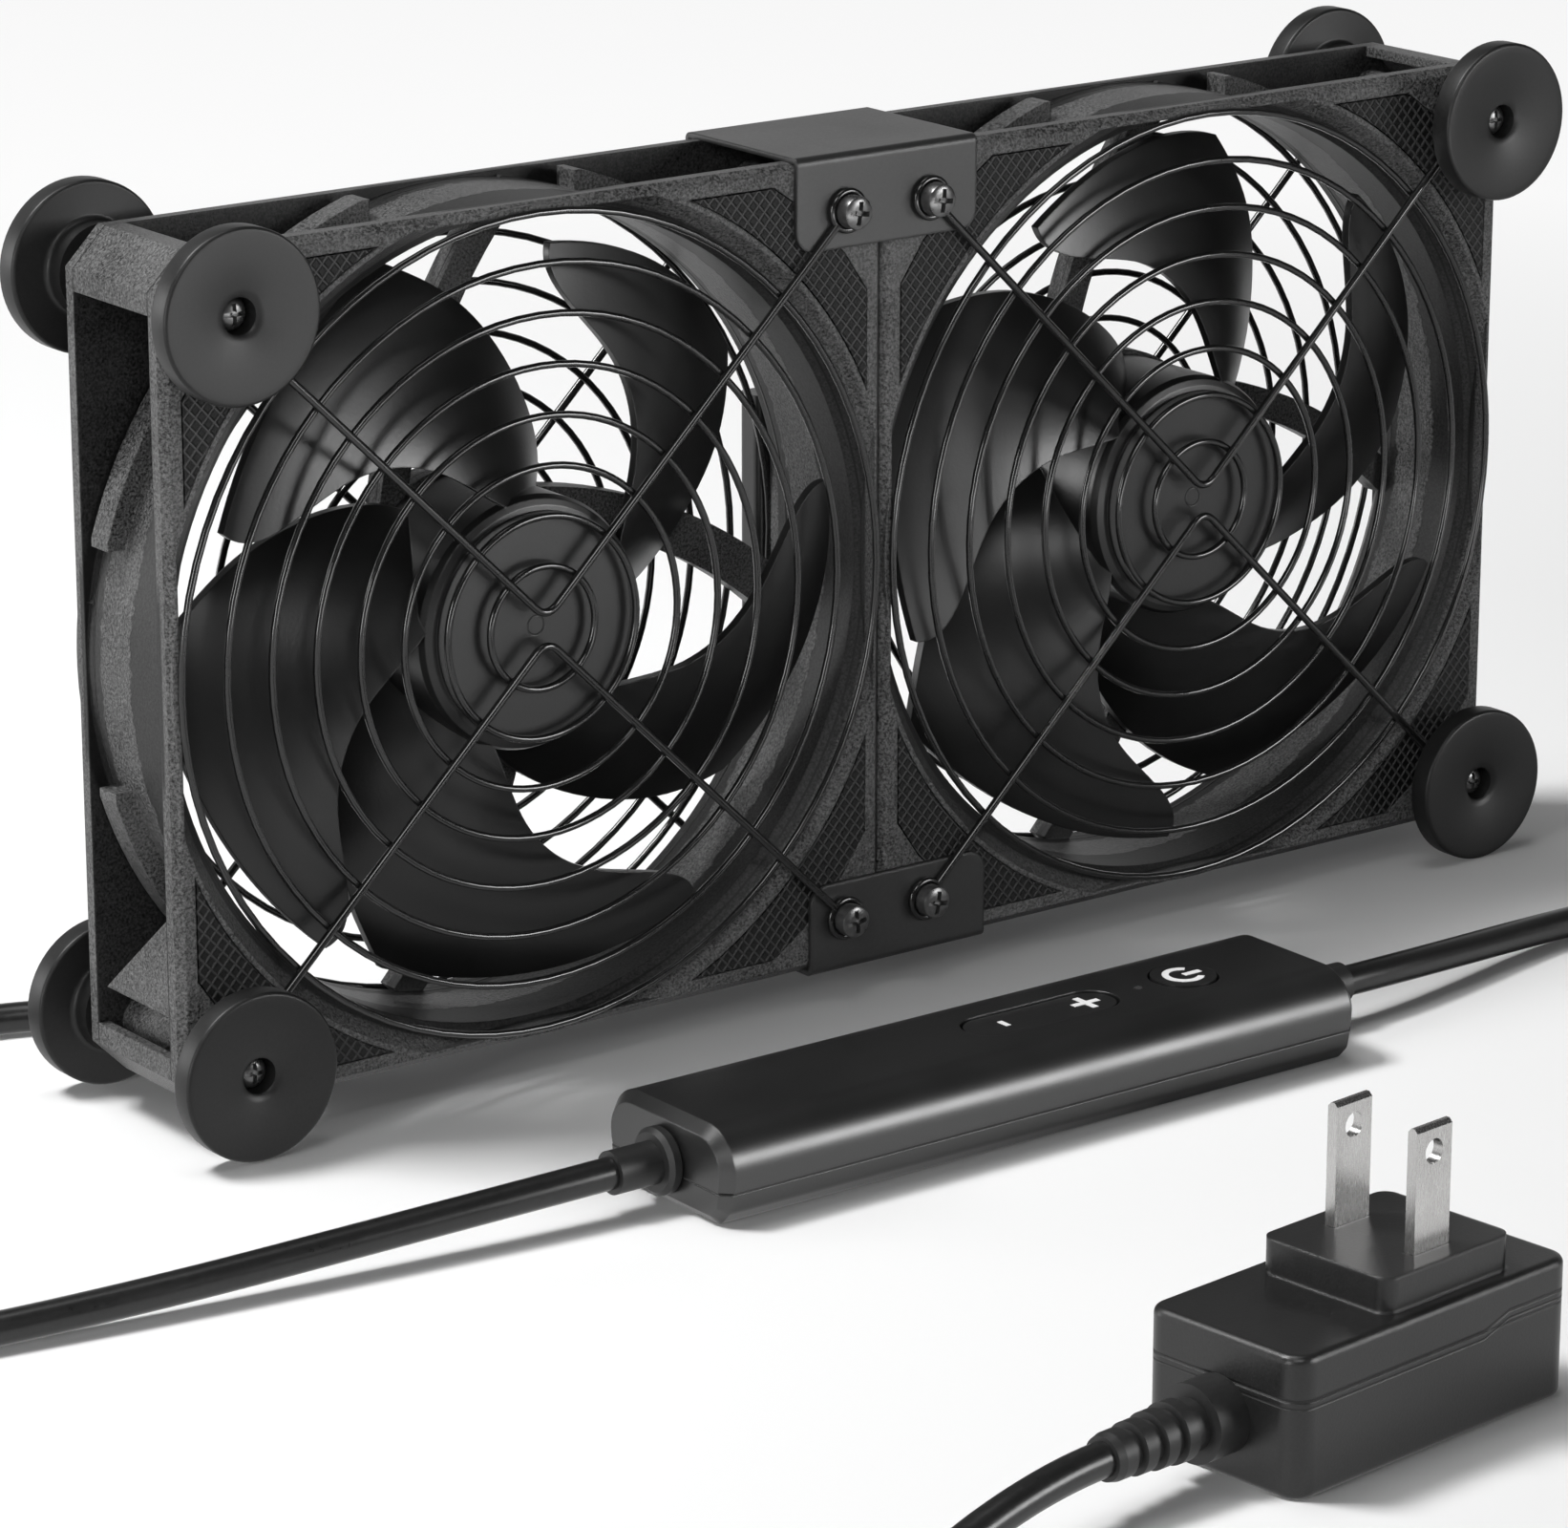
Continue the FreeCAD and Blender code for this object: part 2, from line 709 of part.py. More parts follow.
def core_form(tag):
    length = core_rear - core_front
    back_iron = tube_radius + s.press_gap
    yoke = rod(f"{tag}_centre", "y", back_iron + 1.6, length, (0, core_front, 0))
    arms = [block(f"{tag}_arm{i}", *spans, (0, core_front + length / 2, 0)) for i, spans in enumerate((
        (2 * core_radius - 1, length, s.pole_width), (s.pole_width, length, 2 * core_radius - 1)))]
    shoes = cut(f"{tag}_shoes", rod(f"{tag}_shoe_out", "y", core_radius, length, (0, core_front, 0)),
                rod(f"{tag}_shoe_in", "y", core_radius - s.shoe_thick, length, (0, core_front, 0)))
    gaps = []
    for i, angle in enumerate((45, 135)):
        gap = block(f"{tag}_gap{i}", 4 * core_radius, 2 * length, s.shoe_gap, (0, 0, 0))
        holder = fuse(f"{tag}_gap_turn{i}", gap, rod(f"{tag}_gap_core{i}", "y", 0.5, length, (0, core_front, 0)))
        gaps.append(turned(holder, Vec(0, 1, 0), angle))
    shoes = cut(f"{tag}_shoe_parts", shoes, *gaps)
    return cut(tag, fuse(f"{tag}_stack", yoke, *arms, shoes),
               rod(f"{tag}_eye", "y", back_iron, 2 * length, (0, core_front - length / 2, 0)))


def coil_form(tag):
    length = core_rear - core_front
    start, end = tube_radius + s.press_gap + 1.9, core_radius - s.shoe_thick
    tall = length + 2 * s.coil_build
    wide = s.pole_width + 2 * s.coil_build
    middle = core_front + length / 2
    outer = block(f"{tag}_out", end - start, tall, wide, ((start + end) / 2, middle, 0))
    inner = block(f"{tag}_in", end - start + 2, length + 2 * s.coil_fit, s.pole_width + 2 * s.coil_fit,
                  ((start + end) / 2, middle, 0))
    room = rod(f"{tag}_room", "y", core_radius - s.shoe_thick - 0.3, 2 * tall, (0, middle - tall, 0))
    return common(tag, cut(f"{tag}_turns", outer, inner), room)


def fan(side, sign, turn):
    tag = side + "_"
    spin = FreeCAD.Rotation(Vec(0, 1, 0), turn)

    def seat(label, thing):
        thing.Placement = FreeCAD.Placement(Vec(), spin.multiply(thing.Placement.Rotation))
        return keep(tag + label, put(thing, fan_x * sign, 0, fan_z))

    seat("fan_frame", frame_form(tag + "frame"))
    pads = [pad_form(f"{tag}{end}_pads", as_size(0), s.pad_depth, way * (half_depth - s.pad_depth / 2))
            for end, way in (("front", -1), ("rear", 1))]
    seat("corner_pads", fuse(tag + "pads", *pads))
    seat("motor_lead", lead_form(tag + "lead"))

    rest = s.right_rest_turn if sign > 0 else as_size(0)
    keep(tag + "impeller", put(impeller_form(tag + "rotor", rest), fan_x * sign, 0, fan_z))
    shoulder = hub_face + s.hub_top + s.press_gap
    yoke_out = s.hub_radius - s.hub_wall - s.press_gap
    yoke_in = yoke_out - s.yoke_wall
    magnet_out = yoke_in - s.press_gap
    magnet_front = shoulder + s.yoke_wall + 1.0
    shaft_front = hub_face + 0.6 + s.press_gap
    clip_front = bearing_rear + s.clip_gap
    shaft_rear = clip_front + s.clip_thick + s.shaft_tail
    yoke_rear = hub_rear - s.yoke_inset
    turning = {
        "rotor_yoke": spun(tag + "yoke", [
            (s.hub_boss_radius + 0.3, shoulder), (yoke_out, shoulder), (yoke_out, yoke_rear),
            (yoke_in, yoke_rear), (yoke_in, shoulder + s.yoke_wall),
            (s.hub_boss_radius + 0.3, shoulder + s.yoke_wall)]),
        "rotor_magnet": ring(tag + "magnet", magnet_out, magnet_out - s.magnet_wall, magnet_front,
                             yoke_rear - s.magnet_inset),
        "shaft": spun(tag + "shaft", [
            (0, shaft_front), (s.shaft_radius, shaft_front), (s.shaft_radius, clip_front),
            (s.shaft_radius - 0.3, clip_front), (s.shaft_radius - 0.3, clip_front + s.clip_thick),
            (s.shaft_radius, clip_front + s.clip_thick), (s.shaft_radius, shaft_rear), (0, shaft_rear)]),
        "shaft_clip": ring(tag + "clip", s.clip_radius, s.shaft_radius - 0.3 + s.press_gap,
                           clip_front + 0.02, clip_front + s.clip_thick - 0.02),
        "bearing": ring(tag + "bearing", s.bearing_radius, s.shaft_radius + s.shaft_fit, bearing_front, bearing_rear),
        "stator_core": core_form(tag + "core"),
        "motor_board": ring(tag + "board", s.base_radius - s.base_rim - s.board_edge, tube_radius + s.core_shoulder + s.press_gap,
                            board_front, board_seat),
    }
    for label, thing in turning.items():
        keep(tag + label, put(thing, fan_x * sign, 0, fan_z))
    place = FreeCAD.Placement(Vec(fan_x.value * sign, 0, fan_z.value), FreeCAD.Rotation())
    copies(tag + "stator_coils", coil_form(tag + "coil"), [
        place.multiply(FreeCAD.Placement(Vec(), FreeCAD.Rotation(Vec(0, 1, 0), 360 / pole_count * i)))
        for i in range(pole_count)])
    for end, half_turn in (("front", 0), ("rear", 180)):
        guard = turned(guard_form(f"{tag}{end}_wires"), Vec(0, 0, 1), half_turn)
        keep(f"{tag}{end}_guard", put(guard, fan_x * sign, 0, fan_z))


# Wire guard: rings behind two bent stays that end in screw eyes
stay_back = -(half_depth + s.bracket_steel)
stay_front = stay_back - s.stay_wire


def guard_form(tag):
    outer = half - s.outer_ring_inset
    ring_back = -(half_depth + s.weld)
    depth = ring_back - stay_back + s.weld
    parts = []
    for number in range(ring_count):
        radius = s.first_ring + (outer - s.first_ring) * number / (ring_count - 1)
        sides = max(14, round(math.pi / math.acos(1 - 0.26 / radius.value)))
        parts.append(cut(f"{tag}_ring{number}",
                         prism(f"{tag}_out{number}", sides, radius + s.ring_wire / 2, depth, (0, stay_back - s.weld, 0)),
                         prism(f"{tag}_in{number}", sides, radius - s.ring_wire / 2, depth, (0, stay_back - s.weld, 0))))
    rise = hole - s.stay_corner
    slope = root(hole * hole + rise * rise)
    run_x, run_z = hole / slope, rise / slope
    reach = screw_hole + s.eye_wall / 2
    up = s.stay_wire / 2 / run_x
    end_x, end_z = hole - run_x * reach, hole - run_z * reach
    off_x, off_z = run_z * s.stay_wire / 2, run_x * s.stay_wire / 2
    for name, way in (("upper", 1), ("lower", -1)):
        body = new_body(f"{tag}_{name}_stay")
        outline = [(-end_x + off_x, end_z + off_z), (0, s.stay_corner + up), (end_x - off_x, end_z + off_z),
                   (end_x + off_x, end_z - off_z), (0, s.stay_corner - up), (-end_x - off_x, end_z - off_z)]
        pad = padded(body, f"{tag}_{name}_bar", "XZ_Plane", [(x, z * way) for x, z in outline], s.stay_wire)
        top = way * (s.stay_corner + up).value
        low = way * (s.stay_corner - up).value

        def at_bend(height):
            return lambda box: same(box.XMin, 0) and same(box.XMax, 0) and same(box.ZMin, height)

        pad = dressed(body, "Fillet", f"{tag}_{name}_bend_in", pad, s.stay_bend - s.stay_wire / 2, at_bend(top))
        dressed(body, "Fillet", f"{tag}_{name}_bend_out", pad, s.stay_bend + s.stay_wire / 2, at_bend(low))
        parts.append(put(body, 0, stay_back - s.stay_wire / 2, 0))
    for number, (a, b) in enumerate(signs):
        eye = (hole * a, stay_front, hole * b)
        parts.append(cut(f"{tag}_eye{number}",
                         rod(f"{tag}_eye_out{number}", "y", screw_hole + s.eye_wall, s.stay_wire, eye),
                         rod(f"{tag}_eye_in{number}", "y", screw_hole, s.stay_wire, eye)))
    return fuse(tag, *parts)


fan("left", -1, 0)
fan("right", 1, 180)


# Joining brackets over the seam
def bracket(label, way, shift):
    body = new_body(label + "_body")
    inside, outside = half_depth, half_depth + s.bracket_steel
    top, low = half + s.bracket_steel, half - s.bracket_flap
    outline = [(-outside, top), (outside, top), (outside, low), (inside, low), (inside, half),
               (-inside, half), (-inside, low), (-outside, low)]
    pad = padded(body, label + "_channel", "YZ_Plane", [(y, z * way) for y, z in outline], s.bracket_width)
    peak, end = way * top.value, way * low.value
    side = s.bracket_width.value / 2
    out = outside.value
    pad = dressed(body, "Fillet", label + "_bend", pad, s.bracket_bend,
                  lambda box: same(box.ZMin, peak) and same(box.ZMax, peak) and same(abs(box.YMin), out)
                  and same(box.YMin, box.YMax))
    dressed(body, "Fillet", label + "_corner", pad, s.flap_corner,
            lambda box: same(box.ZMin, end) and same(box.ZMax, end) and same(abs(box.XMin), side)
            and same(box.XMin, box.XMax))
    put(body, shift, 0, fan_z)
    holes = [rod(f"{label}_hole{i}", "y", screw_hole, s.frame_depth * 2,
                 ((fan_x - hole) * sign, -s.frame_depth, fan_z + hole * way)) for i, sign in enumerate((-1, 1))]
    return keep(label, cut(label + "_cut", body, *holes))


bracket("top_bracket", 1, as_size(0))
bracket("bottom_bracket", -1, s.lower_shift)

# Screws and feet, made once about the Y axis with the seat at the origin and copied
foot_places = []
seam_places = []
for way, half_turn in ((1, 0), (-1, 180)):
    for a, b in signs:
        for fan_sign in (-1, 1):
            spot = Vec(fan_x.value * fan_sign + hole.value * a, stay_front.value * way, fan_z.value + hole.value * b)
            place = FreeCAD.Placement(spot, FreeCAD.Rotation(Vec(0, 0, 1), half_turn))
            (foot_places if a == fan_sign else seam_places).append(place)

foot = spun("foot_form", [
    (s.foot_screw_radius + s.screw_fit, 0), (s.foot_neck, 0), (s.foot_neck, s.foot_disc - s.foot_length),
    (s.foot_radius - s.foot_round, s.foot_disc - s.foot_length),
    (s.foot_radius, s.foot_disc - s.foot_length - s.foot_round), (s.foot_radius, s.foot_round - s.foot_length),
    (s.foot_radius - s.foot_round, -s.foot_length), (s.foot_screw_head + s.head_fit, -s.foot_length),
    (s.foot_screw_head + s.head_fit, -s.foot_seat), (s.foot_screw_radius + s.screw_fit, -s.foot_seat)])
foot_screw = spun("foot_screw_form", [
    (0, s.foot_screw_length - s.foot_seat), (s.foot_screw_radius, s.foot_screw_length - s.foot_seat),
    (s.foot_screw_radius, -s.foot_seat), (s.foot_screw_head, -s.foot_seat),
    (s.foot_screw_head, -s.foot_seat - s.foot_head_height * 0.6),
    (s.foot_screw_head * 0.7, -s.foot_seat - s.foot_head_height), (0, -s.foot_seat - s.foot_head_height)])
bracket_screw = spun("bracket_screw_form", [
    (0, s.bracket_screw_length), (s.bracket_screw_radius, s.bracket_screw_length), (s.bracket_screw_radius, 0),
    (s.bracket_screw_head, 0), (s.bracket_screw_head, -s.bracket_head_height * 0.5),
    (s.bracket_screw_head * 0.7, -s.bracket_head_height), (0, -s.bracket_head_height)])
washer = spun("washer_form", [
    (screw_hole, s.stay_wire), (s.washer_radius, s.stay_wire), (s.washer_radius, s.stay_wire + s.bracket_steel),
    (screw_hole, s.stay_wire + s.bracket_steel)])
copies("rubber_feet", foot, foot_places)
copies("foot_screws", foot_screw, foot_places)
copies("foot_washers", washer, foot_places)
copies("bracket_screws", bracket_screw, seam_places)

# Sleeve at the rear seam where both motor leads join the cord
sleeve_y = sleeve_front + s.sleeve_depth / 2
sleeve_low = fan_z - hole / 2 + 6
sleeve = new_body("sleeve_body")
sleeve_pad = padded(sleeve, "sleeve_block", "XY_Plane",
                    [(-s.sleeve_width / 2, -s.sleeve_depth / 2), (s.sleeve_width / 2, -s.sleeve_depth / 2),
                     (s.sleeve_width / 2, s.sleeve_depth / 2), (-s.sleeve_width / 2, s.sleeve_depth / 2)],
                    s.sleeve_length)
dressed(sleeve, "Fillet", "sleeve_round", sleeve_pad, 1.2,
        lambda box: same(box.XMin, box.XMax) and same(box.YMin, box.YMax))
keep("lead_sleeve", put(sleeve, 0, sleeve_y, sleeve_low + s.sleeve_length / 2))


# Controller: two shells split along the side, board, rocker, button, lens and boots
def control_shell(label, outline, inner, rounds):
    body = new_body(label + "_body")
    pad = padded(body, label + "_pad", "YZ_Plane", outline, s.control_length)
    end = s.control_length.value / 2
    split = s.control_split.value
    pad = dressed(body, "Fillet", label + "_round", pad, rounds,
                  lambda box: box.XLength > end and not same(box.ZMin, split))
    dressed(body, "Chamfer", label + "_bevel", pad, s.control_bevel,
            lambda box: same(box.XMin, box.XMax) and not (same(box.ZMin, split) and same(box.ZMax, split)))
    hollow = new_body(label + "_hollow")
    padded(hollow, label + "_hollow_pad", "YZ_Plane", inner, s.control_length - 2 * s.control_wall - 2)
    neck = rod(label + "_cable_hole", "x", s.boot_neck + s.lens_fit, s.control_length * 2,
               (-s.control_length, 0, s.cable_height))
    return body, [hollow, neck]


side_top = s.control_height - 2.6
upper_outline = [(s.control_half - 0.35, s.control_split), (s.control_half, s.control_split + 1.7),
                 (s.control_half - 1.05, side_top), (s.control_top_half, s.control_height)]
lower_outline = [(s.control_half - 0.35, s.control_split), (s.control_half - 0.85, 2.2), (s.control_half - 2.9, 0)]


def mirrored(points):
    return points + [(-y, z) for y, z in reversed(points)]


ceiling = s.control_height - s.control_wall
body, tools = control_shell(
    "upper", mirrored(upper_outline),
    mirrored([(s.board_width / 2 + 0.4, s.control_split - 0.5), (s.board_width / 2 + 0.4, ceiling - 3),
              (s.control_top_half - s.control_wall, ceiling)]), s.control_round)
rocker_x = s.rocker_shift
pill_half = s.rocker_width / 2 + s.rocker_gap
pill_span = s.rocker_length - s.rocker_width
tall = s.control_height
pill = [block("pill_slot", pill_span, 2 * pill_half, tall, (rocker_x, 0, tall)),
        rod("pill_end1", "z", pill_half, tall, (rocker_x - pill_span / 2, 0, tall / 2)),
        rod("pill_end2", "z", pill_half, tall, (rocker_x + pill_span / 2, 0, tall / 2))]
power_hole = rod("power_hole", "z", s.button_radius + s.button_gap, tall, (s.button_shift, 0, tall / 2))
lens_hole = rod("lens_hole", "z", s.lens_radius + s.lens_fit, tall, (s.lens_shift, 0, tall / 2))
pivot_z = s.control_height - s.pivot_drop
boss_depth = s.pivot_length + s.pivot_wall
boss_y = pill_half + s.rocker_gap + boss_depth / 2 - s.rocker_gap
bosses = [block(f"pivot_boss{i}", 2 * (s.pivot_radius + s.pivot_fit + s.pivot_wall), boss_depth,
                ceiling - pivot_z + s.pivot_radius + s.pivot_wall + 0.6,
                (rocker_x, boss_y * sign,
                 (ceiling + 0.6 + pivot_z - s.pivot_radius - s.pivot_wall) / 2)) for i, sign in enumerate((-1, 1))]
sockets = rod("pivot_sockets", "y", s.pivot_radius + s.pivot_fit, 2 * (pill_half + s.pivot_length + 0.3),
              (rocker_x, -(pill_half + s.pivot_length + 0.3), pivot_z))
upper = cut("upper_open", body, *tools, *pill, power_hole, lens_hole)
upper = cut("upper_bored", fuse("upper_bossed", upper, *bosses), sockets)
keep("controller_upper_shell", put(upper, s.control_x, s.control_y, 0))

ledge = s.board_width / 2 - 1.2
body, tools = control_shell(
    "lower", mirrored(lower_outline),
    mirrored([(s.board_width / 2 + 0.2, s.control_split + 1), (s.board_width / 2 + 0.2, s.pcb_height),
              (ledge, s.pcb_height), (ledge, s.control_wall)]), s.control_foot_round)
keep("controller_lower_shell", put(cut("lower_open", body, *tools), s.control_x, s.control_y, 0))

pcb_length = s.control_length - 2 * s.control_wall - 2 - 2 * s.pcb_end_gap
pcb_top = s.pcb_height + s.pcb_thick
button_top = s.control_height + s.button_rise
stem_low = pcb_top + 2.6 + s.button_travel + 0.35
board = fuse("control_board_parts",
             block("pcb", pcb_length, s.board_width, s.pcb_thick, (0, 0, s.pcb_height + s.pcb_thick / 2)),
             block("power_switch", 6, 6, 2.6, (s.button_shift, 0, pcb_top + 1.3)),
             block("minus_switch", 6, 6, 2.6, (rocker_x - pill_span / 2, 0, pcb_top + 1.3)),
             block("plus_switch", 6, 6, 2.6, (rocker_x + pill_span / 2, 0, pcb_top + 1.3)),
             block("drive_chip", 14, 9, 2.0, (-s.control_length / 4, 0, pcb_top + 1.0)))
keep("controller_board", put(board, s.control_x, s.control_y, 0))

rocker_top = s.control_height - s.rocker_sink
rocker_low = rocker_top - s.rocker_thick
rocker = fuse("rocker_parts",
              block("rocker_bar", pill_span, s.rocker_width, s.rocker_thick,
                    (rocker_x, 0, rocker_top - s.rocker_thick / 2)),
              rod("rocker_end1", "z", s.rocker_width / 2, s.rocker_thick, (rocker_x - pill_span / 2, 0, rocker_low)),
              rod("rocker_end2", "z", s.rocker_width / 2, s.rocker_thick, (rocker_x + pill_span / 2, 0, rocker_low)),
              rod("rocker_pivot", "y", s.pivot_radius, 2 * (pill_half + s.pivot_length),
                  (rocker_x, -(pill_half + s.pivot_length), pivot_z)),
              *[rod(f"rocker_foot{i}", "z", 1.4, rocker_low - pcb_top - 2.6 - 0.95 + 0.2,
                    (rocker_x + pill_span / 2 * sign, 0, pcb_top + 2.6 + 0.95)) for i, sign in enumerate((-1, 1))])
keep("speed_rocker", put(rocker, s.control_x, s.control_y, 0))

flange_top = ceiling - 0.3
button = fuse("button_parts",
              rod("button_cap", "z", s.button_radius, button_top - flange_top + 0.2, (s.button_shift, 0, flange_top - 0.2)),
              rod("button_flange_ring", "z", s.button_radius + s.button_flange, s.button_flange_thick,
                  (s.button_shift, 0, flange_top - s.button_flange_thick)),
              rod("button_stem_rod", "z", s.button_stem, flange_top - stem_low, (s.button_shift, 0, stem_low)))
keep("power_button", put(button, s.control_x, s.control_y, 0))
lens = fuse("lens_parts", rod("lens_pin", "z", s.lens_radius, s.control_height - ceiling + 0.5,
                              (s.lens_shift, 0, ceiling - 0.5)),
            rod("lens_base", "z", s.lens_radius + s.lens_flange, 1.0, (s.lens_shift, 0, ceiling - 1.0)))
keep("status_lens", put(lens, s.control_x, s.control_y, 0))

neck_in = s.control_wall + 1
boot = spun("boot_form", [
    (0, neck_in), (s.boot_neck, neck_in), (s.boot_neck, 0), (s.boot_collar - 0.5, 0), (s.boot_collar, -0.5),
    (s.boot_collar, -s.boot_collar_length + 0.6), (s.boot_collar - 0.6, -s.boot_collar_length),
    (s.boot_radius, -s.boot_collar_length), (s.boot_radius, -s.boot_length), (0, -s.boot_length)])
control_left = s.control_x - s.control_length / 2
control_right = s.control_x + s.control_length / 2
for label, end, quarter in (("cord_boot_left", control_left, -90), ("cord_boot_right", control_right, 90)):
    spot = Vec(end.value, s.control_y.value, s.cable_height.value)
    copies(label, boot, [FreeCAD.Placement(spot, FreeCAD.Rotation(Vec(0, 0, 1), quarter))])

# Wall adapter lying on its back, with the plug blades up
yaw = FreeCAD.Rotation(Vec(0, 0, 1), s.adapter_turn.value)


def laid(label, thing):
    thing.Placement = FreeCAD.Placement(Vec(), yaw)
    return keep(label, put(thing, s.adapter_x, s.adapter_y, 0))


def adapter_half(name, low, high, edge_at):
    body = new_body(name)
    long, wide = s.adapter_length / 2, s.adapter_width / 2
    pad = padded(body, name + "_pad", "XY_Plane", [(-long, -wide), (long, -wide), (long, wide), (-long, wide)], high - low)
    pad = dressed(body, "Fillet", name + "_corner", pad, s.adapter_corner,
                  lambda box: same(box.XMin, box.XMax) and same(box.YMin, box.YMax))
    level = edge_at * (high - low).value / 2
    dressed(body, "Fillet", name + "_edge", pad, s.adapter_edge,
            lambda box: same(box.ZMin, level) and same(box.ZMax, level))
    return put(body, 0, 0, (low + high) / 2)


slots = [block(f"blade_slot{i}", s.plug_blade_width + 2 * s.plug_blade_fit, s.plug_blade_thick + 2 * s.plug_blade_fit,
               2 * s.plug_blade_root + 2 * s.plug_blade_fit,
               (s.plinth_shift, s.plug_blade_gap / 2 * sign, s.adapter_height + s.plinth_height))
         for i, sign in enumerate((-1, 1))]
plinth = new_body("plinth")
plinth_pad = padded(plinth, "plinth_pad", "XY_Plane", [
    (-s.plinth_length / 2, -s.plinth_width / 2), (s.plinth_length / 2, -s.plinth_width / 2),
    (s.plinth_length / 2, s.plinth_width / 2), (-s.plinth_length / 2, s.plinth_width / 2)], s.plinth_height + 1)
dressed(plinth, "Fillet", "plinth_corner", plinth_pad, 2.0,
        lambda box: same(box.XMin, box.XMax) and same(box.YMin, box.YMax))
put(plinth, s.plinth_shift, 0, s.adapter_height + s.plinth_height / 2 - 0.5)
front_case = fuse("front_case", adapter_half("front_case_block", s.adapter_split, s.adapter_height, 1), plinth)
laid("adapter_front_shell", cut("front_case_open", front_case, *slots))
neck_hole = rod("relief_hole", "x", s.boot_neck + s.lens_fit, s.relief_neck_length + 0.2,
                (-s.adapter_length / 2, 0, s.relief_height))
laid("adapter_rear_shell", cut("rear_case", adapter_half("rear_case_block", as_size(0), s.adapter_split, -1), neck_hole))
blade_top = s.adapter_height + s.plinth_height + s.plug_blade_length
plug_blades = []
for i, sign in enumerate((-1, 1)):
    length = s.plug_blade_length + s.plug_blade_root
    bar = new_body(f"plug_blade{i}")
    bar_pad = padded(bar, f"plug_blade_pad{i}", "XZ_Plane", [
        (-s.plug_blade_width / 2, 0), (s.plug_blade_width / 2, 0), (s.plug_blade_width / 2, length),
        (-s.plug_blade_width / 2, length)], s.plug_blade_thick, [(0, length - 3.4, s.plug_blade_hole)])
    high = length.value
    dressed(bar, "Chamfer", f"plug_blade_tip{i}", bar_pad, 0.5,
            lambda box: same(box.ZMin, high) and same(box.ZMax, high) and same(box.YMin, box.YMax))
    plug_blades.append(put(bar, s.plinth_shift, s.plug_blade_gap / 2 * sign, blade_top - length))
laid("plug_blades", fuse("plug_blade_pair", *plug_blades))

# Ribbed strain relief of the adapter
relief_outline = [(0, s.relief_neck_length), (s.boot_neck, s.relief_neck_length), (s.boot_neck, 0),
                  (s.relief_collar, 0), (s.relief_collar, -s.relief_collar_length)]
groove_run = s.relief_length - s.relief_collar_length - 2
for number in range(relief_grooves):
    here = s.relief_collar_length + 1 + groove_run * number / relief_grooves
    radius = s.relief_start + (s.relief_end - s.relief_start) * number / relief_grooves
    relief_outline += [(radius - s.relief_groove, -here), (radius - s.relief_groove, -here - groove_run * 0.1),
                       (radius, -here - groove_run * 0.1), (radius, -here - groove_run * 0.24)]
relief_outline += [(s.relief_end, -s.relief_length), (0, -s.relief_length)]
relief_outline[5] = (s.relief_start - s.relief_groove, -s.relief_collar_length)
relief = spun("relief_form", relief_outline)
relief_spot = yaw.multVec(Vec(-s.adapter_length.value / 2, 0, 0)) + Vec(s.adapter_x.value, s.adapter_y.value,
                                                                       s.relief_height.value)
relief_turn = FreeCAD.Rotation(Vec(0, 0, 1), s.adapter_turn.value - 90)
copies("adapter_boot", relief, [FreeCAD.Placement(relief_spot, relief_turn)])


# Cords: straight runs with tangent arcs through hand-chosen points
def cord_section(start, way):
    # eight flats, one of them down
    radius = s.cord_radius.value
    out = Vec(way).normalize()
    side = out.cross(Vec(1, 0, 0) if abs(out.z) > 0.9 else Vec(0, 0, 1)).normalize()
    up = side.cross(out)
    turns = [math.pi / 8 * (2 * i + 1) for i in range(8)]
    corners = [start + (side * math.cos(t) + up * math.sin(t)) * radius for t in turns]
    return Part.makePolygon(corners + corners[:1])


def cord_form(label, points):
    points = [Vec(*p) for p in points]
    runs = [(b - a).Length for a, b in zip(points, points[1:])]
    edges = []
    start = points[0]
    bends = []
    for i in range(1, len(points) - 1):
        into, out = points[i] - points[i - 1], points[i + 1] - points[i]
        turn = into.getAngle(out)
        trim = 0.45 * min(runs[i - 1], runs[i])
        bends.append(trim / math.tan(turn / 2))
        a = points[i] - into.normalize() * trim
        b = points[i] + out.normalize() * trim
        centre_way = (b - points[i]) + (a - points[i])
        reach = bends[-1] / math.cos(turn / 2) - bends[-1]
        middle = points[i] + centre_way.normalize() * reach
        edges.append(Part.LineSegment(start, a).toShape())
        edges.append(Part.Arc(a, middle, b).toShape())
        start = b
    edges.append(Part.LineSegment(start, points[-1]).toShape())
    wire = Part.Wire(edges)
    form = wire.makePipeShell([cord_section(points[0], points[1] - points[0])], True, False)
    print(label, "length", round(wire.Length, 1), "bends", [round(b, 1) for b in bends],
          "volume ratio", round(form.Volume / (section_area * wire.Length), 4))
    return keep(label, shaped(label + "_tube", form))


section_area = Part.Face(cord_section(Vec(), Vec(0, 1, 0))).Area
boot_out = s.boot_length
cord_form("fan_cord", [
    (0, sleeve_y.value, sleeve_low.value), (0, sleeve_y.value, 36), (0, 20.4, 2.3), (-42, 18.2, 2.3), (-70, 16.6, 2.3),
    (-92, 29, 2.3), (-114, 49, 2.3), (-158, 46, 2.3), (-202, 22, 2.3), (-230, -14, 2.3), (-222, -48, 2.3),
    (-172, -59, 2.4), (-100, -66.3, 6.0),
    ((control_left - boot_out).value, s.control_y.value, s.cable_height.value)])


